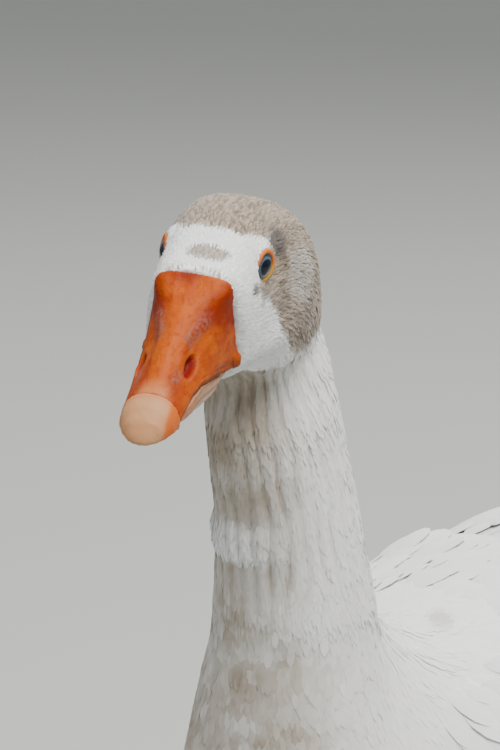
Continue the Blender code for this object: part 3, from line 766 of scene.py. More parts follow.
# %% Where each kind of feather is planted
rise_deg = np.degrees(np.arctan2(height - AXIS_HEIGHT, np.abs(places[:, 0])))
low_edge = read_table(LOW_EDGE, places[:, 1])[0]
tiled = wing_share * ease(rise_deg, low_edge - 3.0, low_edge + 5.0) * fall(rise_deg, 66.0, 76.0)
tiled *= fall(places[:, 1], 0.185, 0.205)
rump_end_bare = fall(places[:, 1], 0.225, 0.238)
neck_foot_gap = np.linalg.norm(places - np.array([0.0, -0.150, trunk_high.z]), axis=1)
shoulder_share = fall(neck_foot_gap, 0.060, 0.105)
off_bill = fall(forward + 0.8 * rag, BILL_EDGE - 1.0, BILL_EDGE - 0.3)
tracts = {
    "face": face_share * eye_clear * off_bill,
    "crown": head_share * (1.0 - face_share) * eye_clear,
    "neck": neck_share,
    "breast": breast_share,
    "shoulder": body_share * shoulder_share,
    "thigh": body_share * on_thigh,
    "body": body_share * (1.0 - tiled) * (1.0 - shoulder_share) * (1.0 - on_thigh) * rump_end_bare,
}
for label, values in skin_fields.items():
    put_field(skin.data, label, values)
for label, share in tracts.items():
    put_field(skin.data, "tract_" + label, share)
print("tracts:", list(tracts))

# %% Unwrap the skin
bpy.context.view_layer.objects.active = skin
for other in bpy.context.selected_objects:
    other.select_set(False)
skin.select_set(True)
skin.data.uv_layers.new(name="OFBake")
bpy.ops.object.mode_set(mode="EDIT")
bpy.ops.mesh.select_all(action="SELECT")
bpy.ops.uv.smart_project(angle_limit=math.radians(66.0), island_margin=0.002)
bpy.ops.object.mode_set(mode="OBJECT")
print("map of the skin:", skin.data.uv_layers[0].name)

# %% [markdown]
# ## Plumage finish
# Feathers are not flat white: painted shade darkens each feather toward its root, where
# the feather above covers it; each feather differs a little from the next, and fine barbs
# run out from the shaft.  One finish serves skin and coat, and reads the shares stored
# there, so that both carry the same markings.

# %% Plumage finish
WHITE = (0.86, 0.865, 0.855)
# Warm grey-brown of the duller plumage, also laid on as painted shade.
DULL_AND_SHADE_BROWN = (0.30, 0.236, 0.160)
CAP_GREY = (0.172, 0.130, 0.090)
CAP_PALE = (0.38, 0.300, 0.222)
DARK_BROWN = (0.085, 0.068, 0.055)


def plumage_finish(name, barbs=0.0, root=0.86):
    """White plumage with its markings; feathers also have painted shade at their root, and barbs."""
    made = Finish(name, Roughness=0.78, Sheen_Weight=0.25, Sheen_Roughness=0.5,
                  Specular_IOR_Level=0.25)
    own = made.field("shade")
    streak = made.times(own, 0.6, made.times(made.noise(420.0, 2.0), 0.4))
    grey = made.mix(made.ramp(streak, 0.15, 0.85), CAP_GREY, CAP_PALE)
    # This share is partly the plumage's own duller colour and partly painted shade.
    dull_and_shade_here = made.times(made.field("dull"), made.times(made.noise(60.0), 0.9, 0.35), clamp=True)
    colour = made.tint(WHITE, (dull_and_shade_here, DULL_AND_SHADE_BROWN), ("cap", grey), ("dark", DARK_BROWN))
    if not barbs:
        return made.wear(colour, made.noise(900.0, 2.0), 0.0004, 0.6)
    flat = made.add("ShaderNodeUVMap", uv_map="Vane")
    split = made.add("ShaderNodeSeparateXYZ", {0: flat}).node.outputs
    across = made.maths("ABSOLUTE", made.maths("SUBTRACT", split[0], 0.5))
    # Painted shade: each feather is darker toward its root, where the feather above covers it.
    shade = made.times(made.ramp(split[1], 0.0, 0.85), 1.0 - root, root)
    shade = made.times(shade, made.times(own, 0.05, 0.95))
    shade = made.add("ShaderNodeCombineColor", {0: shade, 1: shade, 2: shade})
    slant = made.times(across, -0.8, split[1])
    wave = made.maths("SINE", made.times(slant, barbs * 2.0 * math.pi))
    return made.wear(made.mix(1.0, colour, shade, "MULTIPLY"), wave, 0.00012, 0.45)


small_finish = plumage_finish("small_feathers", barbs=9.0, root=0.94)
contour_finish = plumage_finish("contour_feathers", barbs=38.0, root=0.92)
quill_finish = plumage_finish("long_feathers", barbs=110.0)
dress(skin, plumage_finish("goose_down"), SKIN_NODES)
print("skin stands for", len(SKIN_NODES), "solids")

# %% [markdown]
# ## One feather
# A small feather is a closed leaf: narrow at its root, broad past the middle, rounded
# at its tip, arched across and bowed along, so that it hugs the bird.  It is modelled
# one unit long and one unit wide, and each tract scales it.


# %% A closed leaf
def make_vane(name, stations, across, crest, bow):
    """Feather leaf: stations are (along, half width); crest and bow are heights."""
    form = bmesh.new()
    flat_map = form.loops.layers.uv.new("Vane")
    rings = []
    for t, half in stations:
        middle = bow * 4.0 * t * (1.0 - t)
        ring = []
        for k in range(across + 1):
            x = (2.0 * k / across - 1.0) * half
            arch = crest * (1.0 - (2.0 * k / across - 1.0) ** 2) * (half / 0.5)
            ring.append(form.verts.new((x, t, middle + arch)))
        rings.append(ring)
    tip = form.verts.new((0.0, 1.0, 0.0))
    for low, high in zip(rings, rings[1:]):
        for k in range(across):
            form.faces.new((low[k], low[k + 1], high[k + 1], high[k]))
        form.faces.new((low[0], high[0], high[-1], low[-1]))
    for k in range(across):
        form.faces.new((rings[-1][k], rings[-1][k + 1], tip))
    form.faces.new((rings[-1][0], tip, rings[-1][-1]))
    form.faces.new(list(reversed(rings[0])))
    bmesh.ops.recalc_face_normals(form, faces=form.faces)
    for face in form.faces:
        face.smooth = True
        for loop in face.loops:
            loop[flat_map].uv = (loop.vert.co.x + 0.5, loop.vert.co.y)
    mesh = mesh_of(name, form)
    mesh.set_sharp_from_angle(angle=math.radians(70.0))
    return bpy.data.objects.new(name, mesh)


tuft_vane = make_vane("tuft", ((0.0, 0.16), (0.45, 0.46), (0.8, 0.36)), 2, 0.16, 0.04)
hair_vane = make_vane("hairy_tuft", ((0.0, 0.22), (0.4, 0.5), (0.78, 0.36)), 2, 0.22, 0.03)
broad_vane = make_vane("broad_leaf", ((0.0, 0.10), (0.25, 0.36), (0.55, 0.5), (0.8, 0.45),
                                      (0.93, 0.28)), 4, 0.10, 0.05)
print("faces of the leaves:", [len(item.data.polygons) for item in (tuft_vane, hair_vane, broad_vane)])

# %% [markdown]
# ## The coat, by Geometry Nodes
# One tree plants the feathers of a tract.  It strews roots evenly over the skin, thinned
# by the tract's share, turns each feather along its lie, lifts its tip, varies its size,
# and makes real faces of the copies.  It also writes each feather's place on the skin's
# flat map, as a tiny patch, so that the coat can be baked later.

# %% The coat's tree
COAT_INPUTS = (("Spacing", MM), ("Length", MM), ("Width", MM), ("Height", MM), ("Lift", 1.0),
               ("Stray", 1.0))
PATCH = 0.003
KEPT_FIELDS = {"cap", "dark", "dull", "shade", "position", "sharp_face", "sharp_edge", "material_index"}


class CoatTree(Wires):
    """Geometry Nodes that plant copies of one feather."""

    def random(self, low, high, seed):
        """A random number for each feather."""
        return self.add("FunctionNodeRandomValue", {2: low, 3: high, 8: seed}, 1, data_type="FLOAT")

    def field(self, name, kind="FLOAT"):
        """A field stored on the geometry."""
        return self.add("GeometryNodeInputNamedAttribute", {"Name": name}, "Attribute",
                        data_type=kind)

    def vector(self, operation, inputs):
        """One step of vector arithmetic."""
        return self.add("ShaderNodeVectorMath", inputs, operation=operation)

    def store(self, geometry, name, value, kind, domain="POINT"):
        """Store a field on the geometry."""
        return self.add("GeometryNodeStoreNamedAttribute",
                        {"Geometry": geometry, "Name": name, "Value": value},
                        data_type=kind, domain=domain)


def coat_tree(name, tract, vane, finish, seed):
    """Tree that plants feathers strewn over a tract, or on given roots."""
    tree = bpy.data.node_groups.new(name, "GeometryNodeTree")
    sockets = tree.interface
    sockets.new_socket("Geometry", in_out="INPUT", socket_type="NodeSocketGeometry")
    for label, _ in COAT_INPUTS:
        sockets.new_socket(label, in_out="INPUT", socket_type="NodeSocketFloat")
    sockets.new_socket("Geometry", in_out="OUTPUT", socket_type="NodeSocketGeometry")
    made = CoatTree(tree)
    given = made.add("NodeGroupInput").node.outputs
    points, out = given["Geometry"], made.field("out", "FLOAT_VECTOR")
    if tract:
        crowd = made.maths("DIVIDE", 3.0, made.times(given["Spacing"], given["Spacing"]))
        roots = made.add("GeometryNodeDistributePointsOnFaces",
                         {"Mesh": given["Geometry"], "Distance Min": given["Spacing"],
                          "Density Max": crowd, "Density Factor": made.field(tract),
                          "Seed": seed}, distribute_method="POISSON").node.outputs
        points, out = roots["Points"], roots["Normal"]
    base = made.add("FunctionNodeAxesToRotation",
                    {"Primary Axis": out, "Secondary Axis": made.field("lie", "FLOAT_VECTOR")},
                    primary_axis="Z", secondary_axis="Y")
    lift = made.times(given["Lift"], made.random(0.6, 1.4, seed + 1))
    lift = made.times(lift, made.field("lift"))
    stray = made.times(given["Stray"], made.random(-1.0, 1.0, seed + 2))
    roll = made.times(given["Stray"], made.random(-1.0, 1.0, seed + 3))
    tilt = made.add("ShaderNodeCombineXYZ", {0: lift, 1: roll, 2: stray})
    tilt = made.add("FunctionNodeEulerToRotation", {0: tilt})
    turn = made.add("FunctionNodeRotateRotation", {"Rotation": base, "Rotate By": tilt},
                    rotation_space="LOCAL")
    grown = made.times(made.random(0.85, 1.15, seed + 4), made.field("growth"))
    size = made.add("ShaderNodeCombineXYZ", {0: given["Width"], 1: given["Length"], 2: given["Height"]})
    size = made.vector("SCALE", {0: size, "Scale": grown})
    points = made.store(points, "shade", made.random(0.0, 1.0, seed + 5), "FLOAT")
    points = made.store(points, "root_place", made.field("OFBake", "FLOAT_VECTOR"), "FLOAT_VECTOR")
    leaf = made.add("GeometryNodeObjectInfo", {"Object": vane}, "Geometry")
    planted = made.add("GeometryNodeInstanceOnPoints",
                       {"Points": points, "Instance": leaf, "Rotation": turn, "Scale": size})
    real = made.add("GeometryNodeRealizeInstances", {"Geometry": planted})
    patch = made.vector("SUBTRACT", {0: made.field("Vane", "FLOAT_VECTOR"), 1: (0.5, 0.5, 0.0)})
    patch = made.vector("MULTIPLY", {0: patch, 1: (PATCH, PATCH, 0.0)})
    patch = made.vector("ADD", {0: made.field("root_place", "FLOAT_VECTOR"), 1: patch})
    mapped = made.store(real, "OFBake", patch, "FLOAT2", "CORNER")
    dressed = made.add("GeometryNodeSetMaterial", {"Geometry": mapped, "Material": finish})
    made.add("NodeGroupOutput", {"Geometry": dressed})
    return tree


# %% Planting
COATS = (  # tract, leaf, finish, seed; spacing, length, width, height in mm; lift, stray
    ("face", tuft_vane, small_finish, 1, 0.82, 3.2, 1.25, 0.7, 0.09, 0.16),
    ("crown", hair_vane, small_finish, 11, 0.95, 4.8, 1.2, 0.9, 0.11, 0.18),
    ("neck", hair_vane, small_finish, 21, 1.02, 6.0, 1.6, 0.6, 0.045, 0.09),
    ("breast", tuft_vane, small_finish, 31, 1.7, 9.0, 3.3, 0.8, 0.04, 0.07),
    ("shoulder", tuft_vane, small_finish, 36, 1.8, 10.0, 4.0, 0.6, 0.03, 0.04),
    ("thigh", tuft_vane, small_finish, 38, 2.5, 11.0, 5.0, 1.2, 0.05, 0.08),
    ("body", broad_vane, contour_finish, 41, 5.0, 23.0, 12.0, 3.5, 0.050, 0.10),
)


def plant_coat(name, tract, vane, finish, seed, *sizes, roots=None):
    """Plant feathers on a tract or on given roots, and keep them as a plain mesh."""
    piece = new_piece(name, roots or skin.data.copy())
    tree = coat_tree(name + "_tree", tract, vane, finish, seed)
    planting = piece.modifiers.new("planting", "NODES")
    planting.node_group = tree
    given = {label: size * unit for (label, unit), size in zip(COAT_INPUTS, sizes)}
    for item in tree.interface.items_tree:
        if item.in_out == "INPUT" and item.name in given:
            planting[item.identifier] = given[item.name]
    mesh = settle(piece)
    for field in [f.name for f in mesh.attributes if f.domain == "POINT" and not f.is_internal]:
        if field not in KEPT_FIELDS:
            mesh.attributes.remove(mesh.attributes[field])
    mesh.uv_layers["OFBake"].active_render = True
    dress(piece)
    print(name, "triangles:", sum(len(face.vertices) - 2 for face in mesh.polygons))


for tract, vane, finish, seed, *sizes in COATS:
    plant_coat(tract + "_feathers", "tract_" + tract, vane, finish, seed, *sizes)

# %% [markdown]
# ## The bill
# A goose's bill is horn over bone: broad and boxy at the feathers, with a rounded
# ridge along the top, open nostrils in shallow hollows, a rolled lip along the mouth
# and a pale nail at the tip.  The solids hold its proportions.  The fine copy adds the
# hollows, wrinkles and lamellae by moving its corners along their outward direction,
# with heights that are plain functions of the place on the head.

# %% Fine copies of the bill
BILL_VOXEL = 0.5 * MM
NOSTRIL = (62.4, -12.7)
NOSTRIL_HALF = (5.0, 1.7)
GRIN = ((33, 0.0), (38, 0.8), (49.5, 3.4), (60, 5.4), (68, 4.6), (76, 2.6), (86, 0.3))
HOLLOW_RIM = ((31, 14.0, -4.0), (37, 11.8, -2.6), (43, 9.0, -2.3), (52.6, 6.3, -5.1), (60, 4.8, -8.0),
              (68, 5.2, -11.5))


def mouth_rise(f):
    """How far the mouth line arches up, as a goose's does."""
    return read_table(GRIN, f)[0]


def rim_gap(f, l, u):
    """Distance from the rim that runs from the base to round the nostril."""
    wide, high = read_table(HOLLOW_RIM, f)
    return np.hypot(np.abs(l) - wide, u - high)


def nostril_field(f, l, u, long_share=1.0, wide_share=1.0):
    """Share that is 1 in the nostril slits, which run along the bill."""
    drop = NOSTRIL[1] - 2.8 * (l < 0.0)
    run = (f - NOSTRIL[0]) * 0.95 - (u - drop) * 0.31
    rise = (f - NOSTRIL[0]) * 0.31 + (u - drop) * 0.95
    slit = (run / (NOSTRIL_HALF[0] * long_share)) ** 2 + (rise / (NOSTRIL_HALF[1] * wide_share)) ** 2
    return np.exp(-slit ** 2.2) * ease(np.abs(l), 3.5, 5.0)


def raise_and_shift(mesh, points, lift, rise=0.0, spread=0.0):
    """Move corners outward, up the head and to its left, in millimetres."""
    shift = np.multiply.outer(rise, head_axes[:, 2]) + np.multiply.outer(spread, head_axes[:, 0])
    set_points(mesh, points + normals_of(mesh) * (lift * MM)[:, None] + shift * MM)


def shape_upper_bill(mesh):
    """Carve the upper bill and store the shares its finish reads."""
    points = points_of(mesh)
    f, l, u = in_head(points)
    side = np.abs(l)
    rim = rim_gap(f, l, u)
    wrinkle = rough_noise(points, 420.0) * 0.6 + rough_noise(points, 1100.0, 4.0) * 0.4
    rim_near = hump(rim, 0.0, 1.9) * ease(f, 40.0, 50.0) * fall(f, 64.0, 70.0)
    hollow = hump(f, 59.5, 9.5) * hump(u + 0.40 * (f - 60.0), -10.5, 3.6) * ease(side, 3.5, 6.5)
    slit = nostril_field(f, l, u)
    lip = nostril_field(f, l, u, 1.4, 2.0) - slit
    lamella = np.cos(2.0 * math.pi * f / 1.5) * hump(u, -24.6, 0.9) * ease(side, 6.0, 9.0)
    fold = hump(f, 29.5, 3.6) * hump(u, -24.0, 2.8) * ease(side, 10.0, 14.0)
    crease = hump(u - 0.12 * (f - 55.0), -20.8, 0.8) * fall(f, 40.0, 78.0)
    shoulder = hump(side, 11.5, 4.5) * hump(u, 3.0, 5.0) * fall(f, 33.0, 47.0)
    saddle = hump(f, 36.5, 2.8) * hump(l, 0.0, 8.0) * ease(u, 0.0, 4.0)
    keel = hump(l, 0.0, 3.6) * hump(f, 62.0, 13.0) * ease(u, -18.0, -12.0)
    lift = (0.13 * wrinkle - 1.2 * hollow - 2.8 * slit + 0.45 * lip + 0.10 * lamella + 1.7 * fold
            - 0.25 * crease + 2.3 * shoulder - 0.55 * saddle + 0.5 * rim_near + 0.8 * keel)
    raised = mouth_rise(f) * fall(u, -25.6, -16.5)
    raise_and_shift(mesh, points, lift, raised, -0.2 * raised * np.sign(l))
    red = hump(rim, 0.0, 2.0 + 0.27 * np.maximum(50.0 - f, 0.0))
    red *= 0.95 - 0.75 * ease(f, 42.0, 62.0)
    red += 0.55 * hump(side, 13.5, 3.0) * fall(f, 30.0, 50.0) * ease(-u, 14.0, 4.0)
    red += 0.9 * hump(f, 32.0, 3.0) * hump(l + 2.5, 0.0, 5.0) * ease(u, 2.0, 6.0)
    red += 0.45 * hump(side, 6.0, 3.0) * ease(f, 66.0, 74.0) * fall(f, 80.0, 88.0)
    worn = 0.7 * hump(rim, 1.0, 2.0) * ease(f, 40.0, 46.0) * fall(f, 56.0, 60.0)
    worn += 0.9 * nostril_field(f - 9.0, l, u, 0.8, 0.8)
    edge = u + 25.6 - 0.25 * raised
    # Darker along the mouth's edge and in a band above it; painted shade in the side crease and in front of
    # the gape fold.
    stain = hump(edge, 0.0, 1.0) + 0.6 * hump(f, 45.0, 7.0) * hump(edge, 2.4, 1.2) + 0.5 * crease
    stain += 0.8 * hump(f, 33.8, 1.0) * hump(u, -23.5, 2.2) * ease(side, 10.0, 14.0)
    # The slit share paints the nostril holes dark red: partly their lining, partly painted shade inside.
    put_shares(mesh, red=red, worn=worn, stain=stain, slit=1.7 * nostril_field(f, l, u, 1.02, 1.05),
               # The ridge share is a painted highlight along the top of the bill.
               ridge=fall(side, 2.5, 6.5) * ease(f, 38.0, 46.0),
               tip=ease(f, 74.0, 82.0) * fall(side, 3.0, 7.5))


def shape_lower_bill(mesh):
    """Raise the edge of the lower bill to the arched mouth line, and cut its lamellae."""
    points = points_of(mesh)
    f, l, u = in_head(points)
    comb = np.cos(2.0 * math.pi * f / 1.7) * hump(u, -27.4, 1.0)
    raised = np.maximum(mouth_rise(f) - 0.25, 0.0) * ease(u, -33.0, -27.0)
    spread = 1.5 * ease(mouth_rise(f), 0.0, 2.5) * ease(np.abs(l), 3.0, 8.0) * ease(u, -36.0, -29.0)
    ripple = 0.16 * comb + 0.08 * rough_noise(points, 500.0, 2.0)
    raise_and_shift(mesh, points, ripple, raised, spread * np.sign(l))
    # Painted shade: the comb share darkens the troughs between the lamellae and two lines along them.
    groove = hump(u, -28.9, 0.5) + hump(u, -26.3, 0.5)
    put_shares(mesh, comb=0.35 * (1.0 - comb) * hump(u, -27.4, 1.2) + 0.7 * groove,
               tip=ease(f, 60.0, 84.0))


def shape_nail(mesh):
    """Roughen the nail a little, and tell its root and flanks from its top."""
    points = points_of(mesh)
    f, l, _ = in_head(points)
    raise_and_shift(mesh, points, 0.06 * rough_noise(points, 500.0))
    off_top = np.abs(l) - 2.2 * (l < 0.0) + 0.25 * np.maximum(84.0 - f, 0.0)
    put_shares(mesh, root=fall(f, 82.0, 86.0), flank=ease(off_top, 6.3, 7.9))


upper_bill = fine_piece("upper_bill", joined_copy(["bill_upper"]), BILL_VOXEL, 7)
lower_bill = fine_piece("lower_bill", joined_copy(["bill_lower"]), BILL_VOXEL, 5)
nail = fine_piece("nail_of_bill", joined_copy(["bill_nail"], 0.45 * MM), BILL_VOXEL, 9)
shape_upper_bill(upper_bill.data)
shape_lower_bill(lower_bill.data)
shape_nail(nail.data)
print("faces of the bill:", [len(p.data.polygons) for p in (upper_bill, lower_bill, nail)])

# %% [markdown]
# ## Horn
# The upper bill is mottled orange: paler on its ridge, where a highlight is painted, redder
# at the sides of its base, worn by the nostrils, and darker along its edge, with painted
# shade in its creases and in its nostrils, which are dark red.  Shares stored on the mesh
# say where, and noise makes their borders ragged.

# %% Finish of the bill
ORANGE = (0.33, 0.046, 0.002)
ORANGE_PALE = (0.41, 0.078, 0.003)
ORANGE_RED = (0.21, 0.018, 0.002)
WORN_PINK = (0.22, 0.092, 0.07)
NOSTRIL_RED_AND_SHADE = (0.17, 0.007, 0.004)
EDGE_AND_CREASE_SHADE_BROWN = (0.08, 0.028, 0.014)
NAIL_CREAM = (0.44, 0.235, 0.115)
NAIL_PINK = (0.46, 0.17, 0.07)


def horn(name, roughness=0.46):
    """Satin horn that glows a little in its depth."""
    return Finish(name, Roughness=roughness, Subsurface_Weight=0.08, Subsurface_Scale=0.0010,
                  Subsurface_Radius=(1.0, 0.35, 0.15), Specular_IOR_Level=0.10)


def upper_bill_finish():
    """Mottled, streaked and worn orange horn, darker along the mouth, with a painted highlight on the ridge
    and painted shade in the creases and nostrils.
    """
    made = horn("orange_horn")
    long_way = made.add("ShaderNodeMapping",
                        {"Vector": made.spaces, "Rotation": tuple(head_turn.to_euler()),
                         "Scale": (1.0, 2.6, 1.0)}, vector_type="TEXTURE")
    broad = made.noise(150.0, 4.0)
    streak = made.noise(520.0, 4.0, long_way)
    speck = made.noise(1500.0)
    red_field = made.field("red")
    ragged = made.times(broad, 0.8, made.times(streak, 0.5))
    red = made.times(red_field, made.ramp(ragged, 0.38, 0.72))
    colour = made.tint(
        made.mix(made.ramp(broad, 0.35, 0.66), ORANGE, ORANGE_PALE),
        # Painted highlight: the ridge is paler.
        (made.times(made.field("ridge"), 0.55), ORANGE_PALE),
        (made.times(made.ramp(streak, 0.50, 0.70), 0.45), ORANGE_RED),
        (made.times(red_field, 0.45, red, clamp=True), ORANGE_RED),
        (made.times(made.field("worn"), made.ramp(made.noise(700.0), 0.38, 0.60)), WORN_PINK),
        (made.times(made.field("tip"), 0.75), NAIL_PINK),
        (made.times(made.field("stain"), made.ramp(speck, 0.30, 0.58)), EDGE_AND_CREASE_SHADE_BROWN),
        ("slit", NOSTRIL_RED_AND_SHADE))
    made.tree.links.new(made.times(streak, 0.35, 0.30), made.shader["Roughness"])
    return made.wear(colour, made.times(streak, 0.7, made.times(speck, 0.3)), 0.0007, 0.6)


def pale_horn_finish(name, first, second, roughness, *marks):
    """Pale horn, tinted where a share says so; marks are (share, colour)."""
    made = horn(name, roughness)
    cloud = made.ramp(made.noise(260.0, 4.0), 0.35, 0.65)
    return made.wear(made.tint(made.mix(cloud, first, second), *marks), made.noise(1300.0), 0.0003, 0.4)


dress(upper_bill, upper_bill_finish(), ["bill_upper"])
# The comb share is painted shade between the lamellae.
dress(lower_bill, pale_horn_finish("pale_lower_bill", (0.62, 0.42, 0.27), (0.55, 0.30, 0.17), 0.45,
                                           ("comb", (0.16, 0.06, 0.03)), ("tip", (0.52, 0.17, 0.06))),
      ["bill_lower"])
dress(nail, pale_horn_finish("cream_nail", NAIL_CREAM, (0.46, 0.215, 0.10), 0.38,
                                          ("root", NAIL_PINK), ("flank", (0.48, 0.105, 0.018))),
      ["bill_nail"])
print("bill is dressed in", [piece.data.materials[0].name for piece in (upper_bill, lower_bill, nail)])

# %% [markdown]
# ## Eyes and lids
# The eye is a wet ball with a clear bulge in front of a pale blue iris.  Geese have a
# thin naked ring of skin round the opening, orange above and yellow below.  The ball
# is a sphere whose front is pushed out a little, and the ring is a closed band swept
# round the line of sight, its opening slightly longer than high.

# %% Eyeballs
PUPIL_RADIUS = 2.95
IRIS_RADIUS = 4.2
BULGE_RADIUS = 5.0
PUPIL_BLACK = (0.004, 0.006, 0.012)
IRIS_BLUES = ((0.042, 0.062, 0.088), (0.080, 0.110, 0.145))
# Dark outer ring of the iris: partly its own dark rim, partly painted shade from the lid.
IRIS_RIM_AND_LID_SHADE = (0.018, 0.026, 0.038)
BALL_RED = (0.05, 0.025, 0.02)


def make_eyeball(name, side):
    """Ball with a clear bulge, and its distance from the line of sight stored."""
    form = bmesh.new()
    bmesh.ops.create_uvsphere(form, u_segments=72, v_segments=48, radius=EYE_RADIUS)
    for corner in form.verts:
        off = math.hypot(corner.co.x, corner.co.y)
        if corner.co.z > 0.0 and off < BULGE_RADIUS:
            corner.co.z += 0.5 * math.cos(off / BULGE_RADIUS * math.pi / 2.0) ** 2
    mesh = mesh_of(name, form)
    points = points_of(mesh)
    put_field(mesh, "off_axis", np.hypot(points[:, 0], points[:, 1]) + 20.0 * (points[:, 2] < 0.0))
    mesh.shade_smooth()
    mesh.transform(sight_frame(side) @ Matrix.Scale(MM, 4))
    return new_piece(name, mesh)


def eye_finish():
    """Dark pupil, pale blue iris, dark rim partly painted as the lid's shade, all under a wet film."""
    made = Finish("wet_eye", Roughness=0.15, Coat_Weight=0.5, Coat_Roughness=0.02, Coat_IOR=1.38,
                  Specular_IOR_Level=0.1)
    off = made.field("off_axis")
    iris = made.mix(made.ramp(made.noise(1400.0), 0.35, 0.65), *IRIS_BLUES)
    return made.wear(made.tint(
        PUPIL_BLACK,
        (made.ramp(off, PUPIL_RADIUS - 0.12, PUPIL_RADIUS + 0.12), iris),
        (made.ramp(off, PUPIL_RADIUS + 0.6, IRIS_RADIUS), IRIS_RIM_AND_LID_SHADE),
        (made.ramp(off, IRIS_RADIUS + 0.3, IRIS_RADIUS + 1.0), BALL_RED)))


# %% Lids
OPENING = 4.5
LID_STEPS = 96
LID_SECTION = ((-0.25, -0.25), (-0.05, 0.15), (0.2, 0.45), (0.55, 0.55), (0.95, 0.42),
               (1.4, 0.15), (2.0, -0.2), (3.0, -1.1), (3.0, -1.8), (1.6, -1.2), (0.2, -0.7))


def bridge(form, low, high):
    """Faces between two closed rings of corners."""
    for k in range(len(low)):
        n = (k + 1) % len(low)
        form.faces.new((low[k], high[k], high[n], low[n]))


def make_lid(name, side):
    """Closed band round the opening of one eye."""
    form = bmesh.new()
    rings = []
    shares = []
    toward = stretch_angle(side)
    for angle in 2.0 * math.pi * np.arange(LID_STEPS) / LID_STEPS:
        opening = OPENING * (1.0 + OPENING_STRETCH * math.cos(2.0 * (angle - toward)))
        opening += 0.75 * math.exp(-((math.remainder(angle - toward, 2.0 * math.pi)) / 0.35) ** 2)
        ring = []
        for out, rise in LID_SECTION:
            crimp = 0.06 * math.sin(17.0 * angle + 3.0 * out) * (0.4 < out < 2.6)
            off = (opening + out) / EYE_RADIUS
            radius = EYE_RADIUS + rise + crimp + 0.25
            ring.append(form.verts.new((radius * off * math.cos(angle), radius * off * math.sin(angle),
                                        radius * math.sqrt(1.0 - off * off))))
            shares.append((out, angle))
        rings.append(ring)
    for one, two in zip(rings, rings[1:] + rings[:1]):
        bridge(form, one, two)
    bmesh.ops.recalc_face_normals(form, faces=form.faces)
    mesh = mesh_of(name, form)
    out, angle = np.array(shares).T
    corner_gap = np.abs((angle - toward + math.pi) % (2.0 * math.pi) - math.pi)
    rear = 0.5 + 0.5 * side * np.cos(angle)
    put_shares(mesh, yellow=ease(-np.sin(angle), -0.2, 0.7),
               # Painted shade: the front corner darkens at the inner edge, where lid meets ball.
               corner=hump(corner_gap, 0.0, 0.38) * ease(-out, -0.9, -0.1),
               outer=ease(out + 0.9 * rear, 1.5, 2.3))
    mesh.shade_smooth()
    mesh.transform(sight_frame(side) @ Matrix.Scale(MM, 4))
    return new_piece(name, mesh)


def lid_finish():
    """Naked skin: orange above, yellow below, dark red in the front corner, with painted shade at its inner
    edge.
    """
    made = Finish("lid_skin", Roughness=0.5, Specular_IOR_Level=0.3)
    colour = made.tint((0.52, 0.13, 0.010), ("yellow", (0.50, 0.24, 0.012)),
                       ("outer", (0.30, 0.22, 0.16)), ("corner", (0.10, 0.012, 0.01)))
    return made.wear(colour, made.noise(1800.0), 0.0003, 0.5)


wet = eye_finish()
lid_skin = lid_finish()
for side_name, side in SIDES.items():
    dress(make_eyeball("eyeball_" + side_name, side), wet, ["eye_" + side_name])
    dress(make_lid("lid_" + side_name, side), lid_skin)

# %% [markdown]
# ## Legs, webs and claws
# The bare leg is covered with plates: broad ones in a row down the front of the shank
# and along each toe, small round ones behind.  The plates in rows are shaped by a wave
# along the limb, and the small ones are a cell pattern in the finish.

# %% Legs and feet
LEG_VOXEL = 0.9 * MM
CLAW_VOXEL = 0.45 * MM
PLATE_PITCH = 3.6 * MM
FOOT_X = 0.061
SOLE = 0.6 * MM


def plates_along(distance):
    """Row of rounded plates along a limb."""
    return np.abs(np.sin(math.pi * distance / PLATE_PITCH)) ** 0.6 - 0.6


def shape_leg(mesh, side_name, side):
    """Add rows of plates, and keep the sole flat on the floor."""
    points = points_of(mesh)
    out = normals_of(mesh)
    heel_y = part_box("foot_" + side_name)[1][1] - 0.016
    reach = np.hypot(points[:, 0] - FOOT_X * side, points[:, 1] - heel_y)
    level = points[:, 2]
    shank = ease(level, 0.012, 0.020)
    front = np.clip(-out[:, 1], 0.0, 1.0) * shank
    toes = (1.0 - shank) * ease(level, 0.0032, 0.0050) * np.clip(out[:, 2], 0.0, 1.0)
    lift = (0.55 * plates_along(level) * front + 0.45 * plates_along(reach) * toes
            + 0.18 * rough_noise(points, 300.0)) * MM
    lift *= ease(level, SOLE, SOLE + 1.0 * MM)
    moved = points + out * lift[:, None]
    moved[:, 2] = np.where(level < SOLE, 0.0, np.maximum(moved[:, 2], 0.0))
    set_points(mesh, moved)
    put_shares(mesh, web=(1.0 - shank) * fall(level, 0.0032, 0.0046))


def leg_finish():
    """Orange skin with small round scales, painted shade between them, and darker on the webs."""
    made = Finish("scaly_leg", Roughness=0.5, Subsurface_Weight=0.08, Subsurface_Scale=0.001)
    cells = made.add("ShaderNodeTexVoronoi", {"Vector": made.spaces, "Scale": 620.0})
    # Painted shade: the cell pattern darkens the grooves between the scales.
    cell = made.ramp(cells, 0.15, 0.75)
    cloud = made.ramp(made.noise(110.0, 4.0), 0.35, 0.65)
    colour = made.tint(made.mix(cloud, (0.55, 0.175, 0.045), (0.62, 0.25, 0.08)),
                       (made.times(cell, 0.5), (0.33, 0.085, 0.03)),
                       (made.times(made.field("web"), 0.5), (0.50, 0.15, 0.06)))
    return made.wear(colour, made.maths("SUBTRACT", 1.0, cell), 0.0007, 0.7)


